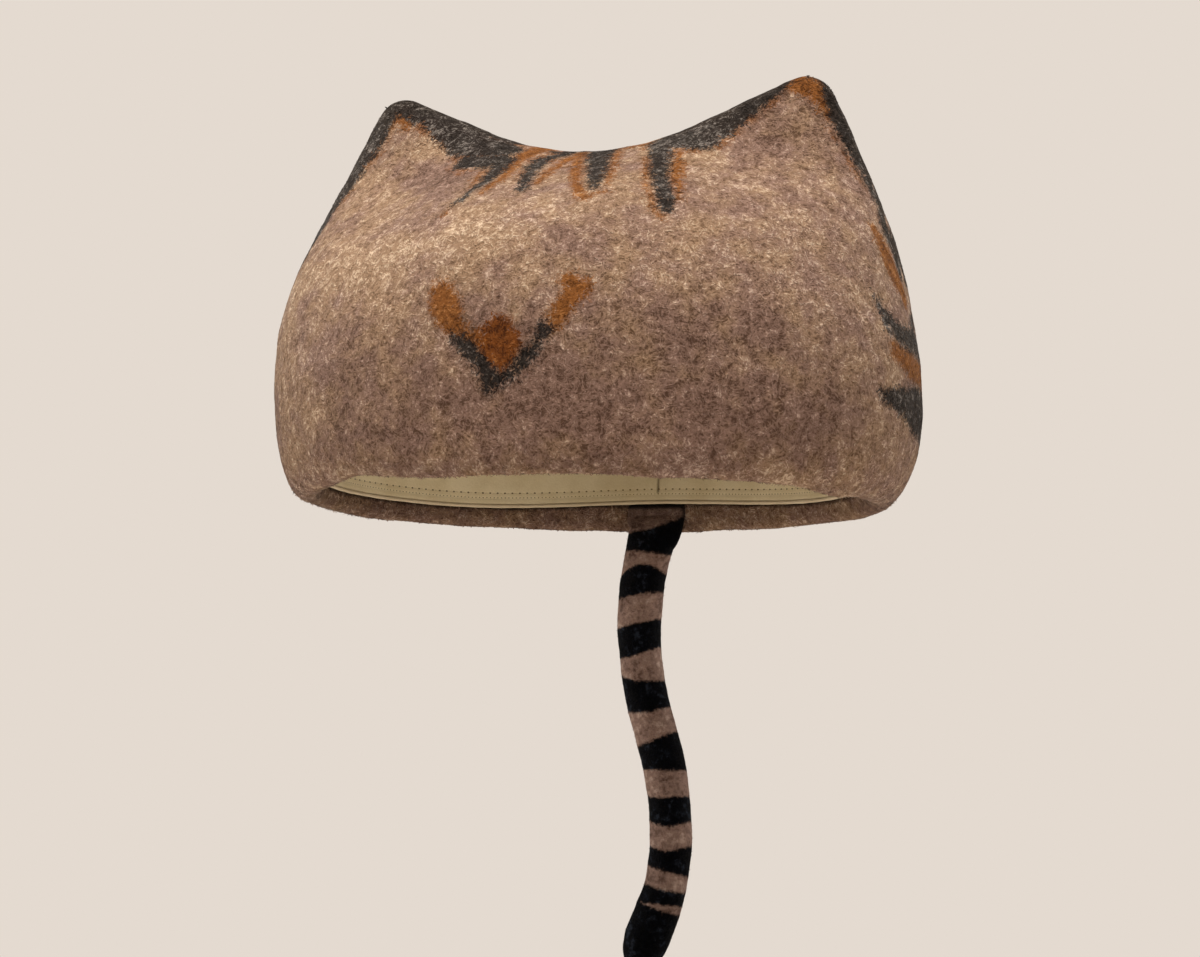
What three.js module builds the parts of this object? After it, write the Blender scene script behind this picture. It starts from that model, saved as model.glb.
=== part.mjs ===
// Cat-ear hat of thick fulled wool, with a sweatband, reed piping and a striped tail.
// Millimetres, +Z up, the face toward -Y, the tail at +Y.
// The origin is the middle of the head opening, level with the sweatband's lower edge.
import * as THREE from "three";

// Head opening, an oval for a 57 cm head
const HEAD_HALF_WIDTH = 103.5;
const HEAD_HALF_DEPTH = 76.5;

// Felt body
const FELT = 3.0;
const INSIDE_INSET = 3.3;
const BULGE_HEIGHT = 36.5;
const BULGE_HALF_WIDTH = 126.6;
const BULGE_FRONT = 90;
const BULGE_BACK = 98.5;
const LOWER_WALL_FULLNESS = 2.2;

// Front outline: side, ear tip and the fold between the ears
const SADDLE_HEIGHT = 128.4;
const EAR_TIP_X = 82;
const EAR_TIP_HEIGHT = 153.4;
const EAR_TIP_RADIUS = 12;
const EAR_SIDE_LEAN = 27.6;
const EAR_RIDGE_LEAN = 21.5;
const SIDE_RISE = 37.9;
const SIDE_UNDER_TIP = 25.2;
const RIDGE_FROM_TIP = 32.8;
const RIDGE_TO_SADDLE = 31;

// The rim: the felt turns in and up behind the sweatband
const LIP_DROP = 8.5;
const LIP_OUTSET = 6.8;
const LIP_INSIDE = 1.5;
const FOLD_TOP = 1.0;
const HEM_TOP = 8.0;
const TAIL_ROOT_X = 2.6;
const TAIL_TUCK_DEPTH = 2.3;
const TAIL_TUCK_FULL = 13.5;
const TAIL_TUCK_END = 21;

// Sweatband and the reed piping under it
const BAND_THICKNESS = 1.2;
const BAND_HEIGHT = 28;
const BAND_BACK_RISE = 3.4;
const BAND_RISE_REACH = 85;
const PIPING_RADIUS = 0.8;
const PIPING_OUTSET = 0.4;
const SEAT_GAP = 0.3;

// Mesh fineness
const COLUMNS = 72;
const OUTLINE_STEPS = 48;
const PIPING_SIDES = 8;
const TAIL_SIDES = 14;
const TAIL_STEPS = 3;

// Half depth of the wall from the bulge (up 0) to the ridge (up 1),
// as a share of the half depth at the bulge: through the middle and through an ear.
const WALL = [
  { up: 0.0, middle: 1.0, ear: 1.0 },
  { up: 0.12, middle: 0.995, ear: 0.99 },
  { up: 0.24, middle: 0.975, ear: 0.952 },
  { up: 0.36, middle: 0.94, ear: 0.893 },
  { up: 0.47, middle: 0.885, ear: 0.795 },
  { up: 0.57, middle: 0.802, ear: 0.66 },
  { up: 0.66, middle: 0.698, ear: 0.515 },
  { up: 0.74, middle: 0.58, ear: 0.402 },
  { up: 0.81, middle: 0.462, ear: 0.326 },
  { up: 0.87, middle: 0.352, ear: 0.27 },
  { up: 0.92, middle: 0.252, ear: 0.224 },
  { up: 0.96, middle: 0.162, ear: 0.174 },
  { up: 0.985, middle: 0.09, ear: 0.108 },
  { up: 1.0, middle: 0.0, ear: 0.0 },
];

// Soft dents pressed into the felt, on the front (-1) or the back (+1)
const DENTS = [
  { side: -1, x: 80, z: 117, long: 34, wide: 13, turn: -20, depth: 2.6 },
  { side: -1, x: -80, z: 117, long: 34, wide: 13, turn: 20, depth: 2.6 },
  { side: -1, x: 34, z: 74, long: 34, wide: 18, turn: -12, depth: 1.6 },
  { side: -1, x: -66, z: 58, long: 30, wide: 15, turn: 30, depth: 1.4 },
  { side: 1, x: 80, z: 115, long: 34, wide: 13, turn: -20, depth: 2.4 },
  { side: 1, x: -80, z: 115, long: 34, wide: 13, turn: 20, depth: 2.4 },
  { side: 1, x: 0, z: 84, long: 46, wide: 16, turn: 4, depth: 2.0 },
];

// How far the soft felt leans sideways at each height
const SWAY = [
  { z: -8.5, shift: 1.2 },
  { z: 8, shift: 1.2 },
  { z: 18, shift: 1.05 },
  { z: 36.5, shift: 0.25 },
  { z: 66, shift: -0.8 },
  { z: 100, shift: -0.3 },
  { z: 128, shift: 0 },
];

// The tail from its flat sewn root to its tip
const TAIL = [
  { z: 5.0, x: 2.6, y: 79.0, width: 22.0, thickness: 1.6 },
  { z: 0.5, x: 2.6, y: 79.0, width: 24.0, thickness: 1.8 },
  { z: -2.6, x: 2.6, y: 79.0, width: 24.4, thickness: 2.2 },
  { z: -5.2, x: 2.3, y: 78.4, width: 24.2, thickness: 5.0 },
  { z: -8.8, x: 1.4, y: 78.2, width: 22.8, thickness: 8.5 },
  { z: -13.5, x: -0.7, y: 78.6, width: 19.8, thickness: 12.0 },
  { z: -23.2, x: -2.8, y: 79.2, width: 18.3, thickness: 14.6 },
  { z: -33.0, x: -4.2, y: 79.6, width: 18.3, thickness: 15.0 },
  { z: -47.5, x: -4.9, y: 80.0, width: 17.9, thickness: 15.0 },
  { z: -62.3, x: -3.5, y: 80.2, width: 17.0, thickness: 15.0 },
  { z: -76.8, x: -0.6, y: 80.2, width: 17.3, thickness: 14.8 },
  { z: -91.2, x: 4.0, y: 80.0, width: 17.3, thickness: 14.8 },
  { z: -105.6, x: 8.2, y: 79.6, width: 17.2, thickness: 14.8 },
  { z: -120.0, x: 10.7, y: 79.2, width: 16.8, thickness: 14.8 },
  { z: -134.0, x: 11.6, y: 79.0, width: 17.1, thickness: 14.8 },
  { z: -148.0, x: 10.3, y: 79.0, width: 16.8, thickness: 14.8 },
  { z: -160.0, x: 7.0, y: 79.2, width: 18.0, thickness: 14.8 },
  { z: -169.0, x: 3.5, y: 79.4, width: 18.6, thickness: 14.8 },
  { z: -177.0, x: 0.7, y: 79.6, width: 16.2, thickness: 13.2 },
  { z: -182.5, x: -1.0, y: 79.7, width: 10.0, thickness: 8.6 },
  { z: -185.4, x: -1.8, y: 79.8, width: 2.4, thickness: 2.2 },
];

const radians = THREE.MathUtils.degToRad;
const mix = THREE.MathUtils.lerp;
const smooth = THREE.MathUtils.smoothstep;

// A value read off a line of x, y points by straight steps; x rises or falls all the way.
function readOff(points, x, from, to) {
  const rising = points[points.length - 1][from] > points[0][from];
  for (let i = 1; i < points.length; i += 1) {
    const a = points[i - 1];
    const b = points[i];
    const passed = rising ? x <= b[from] : x >= b[from];
    if (passed || i === points.length - 1) {
      const share = THREE.MathUtils.clamp((x - a[from]) / (b[from] - a[from]), 0, 1);
      return mix(a[to], b[to], share);
    }
  }
  return points[0][to];
}

// The side of the hat in front view, from the bulge up to where the ear tip's round starts.
function sideLine(inset) {
  const lean = radians(EAR_SIDE_LEAN);
  const radius = EAR_TIP_RADIUS - inset;
  const end = new THREE.Vector2(
    EAR_TIP_X + radius * Math.cos(lean),
    EAR_TIP_HEIGHT - EAR_TIP_RADIUS + radius * Math.sin(lean),
  );
  const start = new THREE.Vector2(BULGE_HALF_WIDTH - inset, BULGE_HEIGHT);
  const curve = new THREE.CubicBezierCurve(
    start,
    new THREE.Vector2(start.x, start.y + SIDE_RISE),
    new THREE.Vector2(end.x + SIDE_UNDER_TIP * Math.sin(lean), end.y - SIDE_UNDER_TIP * Math.cos(lean)),
    end,
  );
  return curve.getPoints(OUTLINE_STEPS);
}

// The top of the hat in front view: round the ear tip and down to the saddle in the middle.
function ridgeLine(inset) {
  const lean = radians(EAR_SIDE_LEAN);
  const slope = radians(EAR_RIDGE_LEAN);
  const radius = EAR_TIP_RADIUS - inset;
  const line = [];
  for (let i = 0; i <= 12; i += 1) {
    const turn = mix(lean, Math.PI / 2 + slope, i / 12);
    line.push(new THREE.Vector2(
      EAR_TIP_X + radius * Math.cos(turn),
      EAR_TIP_HEIGHT - EAR_TIP_RADIUS + radius * Math.sin(turn),
    ));
  }
  const start = line[line.length - 1];
  const saddle = SADDLE_HEIGHT - inset;
  const curve = new THREE.CubicBezierCurve(
    start,
    new THREE.Vector2(start.x - RIDGE_FROM_TIP * Math.cos(slope), start.y - RIDGE_FROM_TIP * Math.sin(slope)),
    new THREE.Vector2(RIDGE_TO_SADDLE, saddle),
    new THREE.Vector2(0, saddle),
  );
  return line.concat(curve.getPoints(OUTLINE_STEPS).slice(1));
}

// The point a share of the way along a line.
function alongLine(line, share) {
  const marks = [{ run: 0, x: line[0].x, y: line[0].y }];
  for (let i = 1; i < line.length; i += 1) {
    marks.push({ run: marks[i - 1].run + line[i].distanceTo(line[i - 1]), x: line[i].x, y: line[i].y });
  }
  const run = share * marks[marks.length - 1].run;
  return { x: readOff(marks, run, "run", "x"), z: readOff(marks, run, "run", "y") };
}

// How far the dents push the wall in at a place on the front or the back.
function dentDepth(side, x, z) {
  let depth = 0;
  for (const dent of DENTS) {
    if (dent.side === side) {
      const turn = radians(dent.turn);
      const along = (x - dent.x) * Math.cos(turn) + (z - dent.z) * Math.sin(turn);
      const across = -(x - dent.x) * Math.sin(turn) + (z - dent.z) * Math.cos(turn);
      depth += dent.depth * Math.exp(-((along / dent.long) ** 2) - (across / dent.wide) ** 2);
    }
  }
  return depth;
}

// The sideways lean of the felt at a height.
function swayAt(z) {
  for (let i = 1; i < SWAY.length; i += 1) {
    if (z <= SWAY[i].z || i === SWAY.length - 1) {
      return mix(SWAY[i - 1].shift, SWAY[i].shift, smooth(z, SWAY[i - 1].z, SWAY[i].z));
    }
  }
  return 0;
}

// One ring of the wall above the bulge. Columns run right round from the hat's left side (+X).
function wallRing(row, inset) {
  const side = sideLine(inset);
  const top = ridgeLine(inset);
  const sideEnd = side[side.length - 1];
  const level = mix(BULGE_HEIGHT, sideEnd.y, row.up);
  const drawnIn = (readOff(side, level, "y", "x") - side[0].x) / (sideEnd.x - side[0].x);
  const ring = [];
  for (let column = 0; column < COLUMNS; column += 1) {
    const angle = (2 * Math.PI * column) / COLUMNS;
    const face = Math.sin(angle) < -1e-9 ? -1 : 1;
    const hand = Math.cos(angle) < -1e-9 ? -1 : 1;
    const toMiddle = Math.asin(Math.min(1, Math.abs(Math.sin(angle)))) / (Math.PI / 2);
    const ridge = alongLine(top, toMiddle ** 1.25);
    const bulgeX = (BULGE_HALF_WIDTH - inset) * Math.abs(Math.cos(angle));
    const bulgeY = ((face < 0 ? BULGE_FRONT : BULGE_BACK) - inset) * Math.abs(Math.sin(angle));
    const x = hand * mix(bulgeX, ridge.x, drawnIn);
    const z = mix(BULGE_HEIGHT, ridge.z, row.up);
    const share = mix(row.ear, row.middle, smooth(toMiddle, 0.45, 0.9));
    const full = bulgeY * share;
    const free = smooth(full, 4, 16);
    ring.push(new THREE.Vector3(x + swayAt(z), face * (full - free * dentDepth(face, x, z)), z));
  }
  return ring;
}

// One ring on ovals: half width and half depth set out from the head opening, moved sideways by a shift.
function ovalRing(outset, frontOutset, backOutset, z, tuck, shift) {
  const ring = [];
  for (let column = 0; column < COLUMNS; column += 1) {
    const angle = (2 * Math.PI * column) / COLUMNS;
    const depthOutset = Math.sin(angle) < 0 ? frontOutset : backOutset;
    const x = (HEAD_HALF_WIDTH + outset) * Math.cos(angle) + shift;
    const fromRoot = Math.abs(x - TAIL_ROOT_X);
    const bow = Math.sin(angle) > 0 ? 1 - smooth(fromRoot, TAIL_TUCK_FULL, TAIL_TUCK_END) : 0;
    const y = (HEAD_HALF_DEPTH + depthOutset) * Math.sin(angle) + tuck * bow;
    ring.push(new THREE.Vector3(x, y, z));
  }
  return ring;
}

// The wall from the bulge down to the bottom of the lip, as rings from the top down.
function lowerWallRings(inset, steps) {
  const rings = [];
  for (let i = 1; i <= steps; i += 1) {
    const turn = ((i / steps) * Math.PI) / 2;
    const out = Math.cos(turn) ** (2 / LOWER_WALL_FULLNESS);
    const down = Math.sin(turn) ** (2 / LOWER_WALL_FULLNESS);
    const z = mix(BULGE_HEIGHT, -LIP_DROP + inset, i === steps ? 1 : down);
    rings.push(ovalRing(
      mix(LIP_OUTSET, BULGE_HALF_WIDTH - inset - HEAD_HALF_WIDTH, i === steps ? 0 : out),
      mix(LIP_OUTSET, BULGE_FRONT - inset - HEAD_HALF_DEPTH, i === steps ? 0 : out),
      mix(LIP_OUTSET, BULGE_BACK - inset - HEAD_HALF_DEPTH, i === steps ? 0 : out),
      z,
      i === steps ? TAIL_TUCK_DEPTH : 0,
      swayAt(z),
    ));
  }
  return rings;
}

// The turned-in felt from the bottom of the lip up to where it stands straight, from the bottom up.
function foldRings(inset, steps) {
  const rings = [];
  for (let i = 1; i <= steps; i += 1) {
    const turn = ((i / steps) * Math.PI) / 2;
    const outset = LIP_OUTSET - (LIP_OUTSET - LIP_INSIDE - inset) * Math.sin(turn);
    const z = FOLD_TOP - (FOLD_TOP + LIP_DROP - inset) * Math.cos(turn);
    rings.push(ovalRing(outset, outset, outset, z, TAIL_TUCK_DEPTH, swayAt(z) * Math.cos(turn)));
  }
  return rings;
}

// A closed skin over rings that run from one end to the other.
// Each end is either a fold, where front and back meet in a line, or a flat lid.
function skin(rings, firstFolded, lastFolded) {
  const places = [];
  const indices = [];
  const count = rings[0].length;
  const numbers = rings.map((ring, row) => {
    const folded = (row === 0 && firstFolded) || (row === rings.length - 1 && lastFolded);
    return ring.map((point, column) => {
      if (folded && column > count / 2) {
        return null;
      }
      places.push(point.x, folded ? 0 : point.y, point.z);
      return places.length / 3 - 1;
    });
  });
  for (const row of numbers) {
    for (let column = 0; column < count; column += 1) {
      if (row[column] === null) {
        row[column] = row[count - column];
      }
    }
  }
  const add = (a, b, c) => {
    if (a !== b && b !== c && a !== c) {
      indices.push(a, b, c);
    }
  };
  for (let row = 0; row + 1 < rings.length; row += 1) {
    for (let column = 0; column < count; column += 1) {
      const next = (column + 1) % count;
      const a = numbers[row][column];
      const b = numbers[row][next];
      const c = numbers[row + 1][next];
      const d = numbers[row + 1][column];
      if ((row + column) % 2 === 0) {
        add(a, d, c);
        add(a, c, b);
      } else {
        add(a, d, b);
        add(b, d, c);
      }
    }
  }
  const lid = (row, turned) => {
    const ring = numbers[row];
    const middle = new THREE.Vector3();
    rings[row].forEach((point) => middle.addScaledVector(point, 1 / count));
    places.push(middle.x, middle.y, middle.z);
    const centre = places.length / 3 - 1;
    for (let column = 0; column < count; column += 1) {
      const next = (column + 1) % count;
      if (turned) {
        add(centre, ring[next], ring[column]);
      } else {
        add(centre, ring[column], ring[next]);
      }
    }
  };
  if (!firstFolded) {
    lid(0, false);
  }
  if (!lastFolded) {
    lid(rings.length - 1, true);
  }
  const geometry = new THREE.BufferGeometry();
  geometry.setAttribute("position", new THREE.Float32BufferAttribute(places, 3));
  geometry.setIndex(indices);
  geometry.computeVertexNormals();
  return geometry;
}

// How far the band rides up at the back, over the tail's root.
function backRise(point) {
  if (point.y <= 0) return 0;
  return BAND_BACK_RISE * (1 - smooth(Math.abs(point.x - TAIL_ROOT_X), 0, BAND_RISE_REACH));
}

// A ring of stuff round the head opening: its section is a closed line of outset and height.
function hoop(section) {
  const places = [];
  const indices = [];
  for (const corner of section) {
    for (const point of ovalRing(corner.outset, corner.outset, corner.outset, corner.z, 0, 0)) {
      places.push(point.x, point.y, point.z + backRise(point));
    }
  }
  for (let side = 0; side < section.length; side += 1) {
    const nextSide = (side + 1) % section.length;
    for (let column = 0; column < COLUMNS; column += 1) {
      const next = (column + 1) % COLUMNS;
      const a = side * COLUMNS + column;
      const b = side * COLUMNS + next;
      const c = nextSide * COLUMNS + next;
      const d = nextSide * COLUMNS + column;
      indices.push(a, b, c, a, c, d);
    }
  }
  const geometry = new THREE.BufferGeometry();
  geometry.setAttribute("position", new THREE.Float32BufferAttribute(places, 3));
  geometry.setIndex(indices);
  geometry.computeVertexNormals();
  return geometry;
}

// Felt body: outer wall from the ridge down, the lip, the turned-in hem, then the inside back up.
function feltCrownGeometry() {
  const rings = [];
  for (let i = WALL.length - 1; i >= 0; i -= 1) {
    rings.push(wallRing(WALL[i], 0));
  }
  rings.push(...lowerWallRings(0, 7));
  rings.push(...foldRings(0, 5));
  for (const z of [4.5, HEM_TOP]) {
    rings.push(ovalRing(LIP_INSIDE, LIP_INSIDE, LIP_INSIDE, z, TAIL_TUCK_DEPTH, 0));
  }
  const behind = LIP_INSIDE + FELT;
  rings.push(ovalRing(behind, behind, behind, HEM_TOP, TAIL_TUCK_DEPTH, 0));
  rings.push(...foldRings(FELT, 4).reverse());
  rings.push(...lowerWallRings(FELT, 6).reverse());
  for (const row of WALL) {
    rings.push(wallRing(row, INSIDE_INSET));
  }
  return skin(rings, true, true);
}

function sweatbandGeometry() {
  return hoop([
    { outset: 0, z: 0 },
    { outset: BAND_THICKNESS, z: 0 },
    { outset: BAND_THICKNESS, z: BAND_HEIGHT / 2 },
    { outset: BAND_THICKNESS, z: BAND_HEIGHT },
    { outset: 0, z: BAND_HEIGHT },
    { outset: 0, z: BAND_HEIGHT / 2 },
  ]);
}

function reedPipingGeometry() {
  const section = [];
  for (let side = 0; side < PIPING_SIDES; side += 1) {
    const turn = (2 * Math.PI * side) / PIPING_SIDES;
    section.push({
      outset: PIPING_OUTSET + PIPING_RADIUS * Math.cos(turn),
      z: -SEAT_GAP - PIPING_RADIUS + PIPING_RADIUS * Math.sin(turn),
    });
  }
  return hoop(section);
}

// The tail: ovals square to its run, smoothed between the rows of its table.
function tailGeometry() {
  const middle = new THREE.CatmullRomCurve3(TAIL.map((row) => new THREE.Vector3(row.x, row.y, row.z)));
  const sizes = new THREE.CatmullRomCurve3(TAIL.map((row) => new THREE.Vector3(row.width, row.thickness, 0)));
  const rings = [];
  const total = (TAIL.length - 1) * TAIL_STEPS;
  for (let i = total; i >= 0; i -= 1) {
    const share = i / total;
    const centre = middle.getPoint(share);
    const size = sizes.getPoint(share);
    const along = middle.getTangent(share);
    const across = new THREE.Vector3(0, 1, 0).cross(along).normalize().negate();
    const through = along.clone().cross(across).normalize();
    const ring = [];
    for (let side = 0; side < TAIL_SIDES; side += 1) {
      const turn = (2 * Math.PI * side) / TAIL_SIDES;
      ring.push(centre.clone()
        .addScaledVector(across, (size.x / 2) * Math.cos(turn))
        .addScaledVector(through, (size.y / 2) * Math.sin(turn)));
    }
    rings.push(ring);
  }
  return skin(rings, false, false);
}

const felt = new THREE.MeshStandardMaterial({ color: 0x8b6d58, roughness: 0.95, metalness: 0 });
const leather = new THREE.MeshStandardMaterial({ color: 0x968465, roughness: 0.6, metalness: 0 });
const reed = new THREE.MeshStandardMaterial({ color: 0x96856e, roughness: 0.6, metalness: 0 });
const tailFelt = new THREE.MeshStandardMaterial({ color: 0x64504a, roughness: 0.95, metalness: 0 });

const group = new THREE.Group();
group.name = "cat_ear_hat";

function place(name, geometry, material) {
  const mesh = new THREE.Mesh(geometry, material);
  mesh.name = name;
  group.add(mesh);
}

place("felt_crown", feltCrownGeometry(), felt);
place("sweatband", sweatbandGeometry(), leather);
place("reed_piping", reedPipingGeometry(), reed);
place("tail", tailGeometry(), tailFelt);

export default group;
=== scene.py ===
# Cat-ear hat of fulled wool with a sweatband, reed piping and a striped tail.
# Sizes in the tables are millimetres in the part's frame: +Z up, the face toward -Y, the tail at +Y.
import math

import bpy
import numpy as np
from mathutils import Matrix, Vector
from mathutils import noise as soft_noise
from mathutils.bvhtree import BVHTree


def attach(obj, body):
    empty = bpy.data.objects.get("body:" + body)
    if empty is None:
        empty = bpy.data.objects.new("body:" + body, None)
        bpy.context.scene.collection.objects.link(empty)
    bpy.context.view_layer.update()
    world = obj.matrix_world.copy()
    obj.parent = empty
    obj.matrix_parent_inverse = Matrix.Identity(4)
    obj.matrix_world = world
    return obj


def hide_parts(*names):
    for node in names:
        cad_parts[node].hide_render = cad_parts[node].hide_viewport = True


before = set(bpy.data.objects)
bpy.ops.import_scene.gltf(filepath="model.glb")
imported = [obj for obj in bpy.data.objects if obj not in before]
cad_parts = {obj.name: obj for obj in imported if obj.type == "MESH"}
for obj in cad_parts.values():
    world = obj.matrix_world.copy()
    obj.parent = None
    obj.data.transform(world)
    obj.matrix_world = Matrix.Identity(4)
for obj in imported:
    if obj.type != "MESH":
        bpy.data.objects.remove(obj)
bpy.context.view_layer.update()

MM = 0.001

# Head opening and felt body, as in the part
HEAD_HALF_WIDTH = 103.5
HEAD_HALF_DEPTH = 76.5
FELT = 3.0
INSIDE_INSET = 3.3
BULGE_HEIGHT = 36.5
BULGE_HALF_WIDTH = 126.6
BULGE_FRONT = 90.0
BULGE_BACK = 98.5
BULGE_OUTSETS = (
    BULGE_HALF_WIDTH - HEAD_HALF_WIDTH,
    BULGE_FRONT - HEAD_HALF_DEPTH,
    BULGE_BACK - HEAD_HALF_DEPTH,
)
LOWER_WALL_FULLNESS = 2.2
SADDLE_HEIGHT = 128.4
EAR_TIP_X = 82.0
EAR_TIP_HEIGHT = 153.4
EAR_TIP_RADIUS = 12.0
EAR_SIDE_LEAN = 27.6
EAR_RIDGE_LEAN = 21.5
SIDE_RISE = 37.9
SIDE_UNDER_TIP = 25.2
RIDGE_FROM_TIP = 32.8
RIDGE_TO_SADDLE = 31.0
LIP_DROP = 8.5
LIP_OUTSET = 6.8
LIP_INSIDE = 1.5
FOLD_TOP = 1.0
HEM_MIDDLE = 4.5
HEM_TOP = 8.0
TAIL_ROOT_X = 2.6
TAIL_TUCK_DEPTH = 2.3
TAIL_TUCK_FULL = 13.5
TAIL_TUCK_END = 21.0
BAND_BACK_RISE = 3.4
BAND_RISE_REACH = 85.0
PIPING_RADIUS = 0.8
PIPING_OUTSET = 0.4
PIPING_FOOT = -1.6

# How the scene's own surfaces are drawn
CURVE_STEPS = 240
TIP_STEPS = 60
RIDGE_SPREAD = 1.25
EAR_SHARE_ENDS = 0.45
MIDDLE_SHARE_STARTS = 0.9
STROKE_STEPS = 5
FAR_OUTSIDE = 30.0
RIM_ZONE_TOP = 12

# Loose fibres on a square metre of felt
FUZZ_DENSITY = 1.0e6
RIM_FUZZ_DENSITY = 1.4e6
TAIL_FUZZ_DENSITY = 1.8e6

# Lumps of the hand-fulled felt and of the tail: size, height, seed
FELT_LUMPS = ((24.0, 0.55, 1), (9.0, 0.3, 2), (3.6, 0.16, 3))
TAIL_LUMPS = ((9.0, 0.22, 4), (3.0, 0.14, 5))

# Half depth of the wall from the bulge (up 0) to the ridge (up 1): up, middle, ear
WALL = (
    (0.0, 1.0, 1.0),
    (0.12, 0.995, 0.99),
    (0.24, 0.975, 0.952),
    (0.36, 0.94, 0.893),
    (0.47, 0.885, 0.795),
    (0.57, 0.802, 0.66),
    (0.66, 0.698, 0.515),
    (0.74, 0.58, 0.402),
    (0.81, 0.462, 0.326),
    (0.87, 0.352, 0.27),
    (0.92, 0.252, 0.224),
    (0.96, 0.162, 0.174),
    (0.985, 0.09, 0.108),
    (1.0, 0.0, 0.0),
)

# Soft dents: side (-1 front, 1 back), x, z, long, wide, turn, depth
DENTS = (
    (-1, 80, 117, 34, 13, -20, 2.6),
    (-1, -80, 117, 34, 13, 20, 2.6),
    (-1, 34, 74, 34, 18, -12, 1.6),
    (-1, -66, 58, 30, 15, 30, 1.4),
    (1, 80, 115, 34, 13, -20, 2.4),
    (1, -80, 115, 34, 13, 20, 2.4),
    (1, 0, 84, 46, 16, 4, 2.0),
)

# How far the soft felt leans sideways at each height: z, shift
SWAY = (
    (-8.5, 1.2),
    (8.0, 1.2),
    (18.0, 1.05),
    (36.5, 0.25),
    (66.0, -0.8),
    (100.0, -0.3),
    (128.0, 0.0),
)

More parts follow.
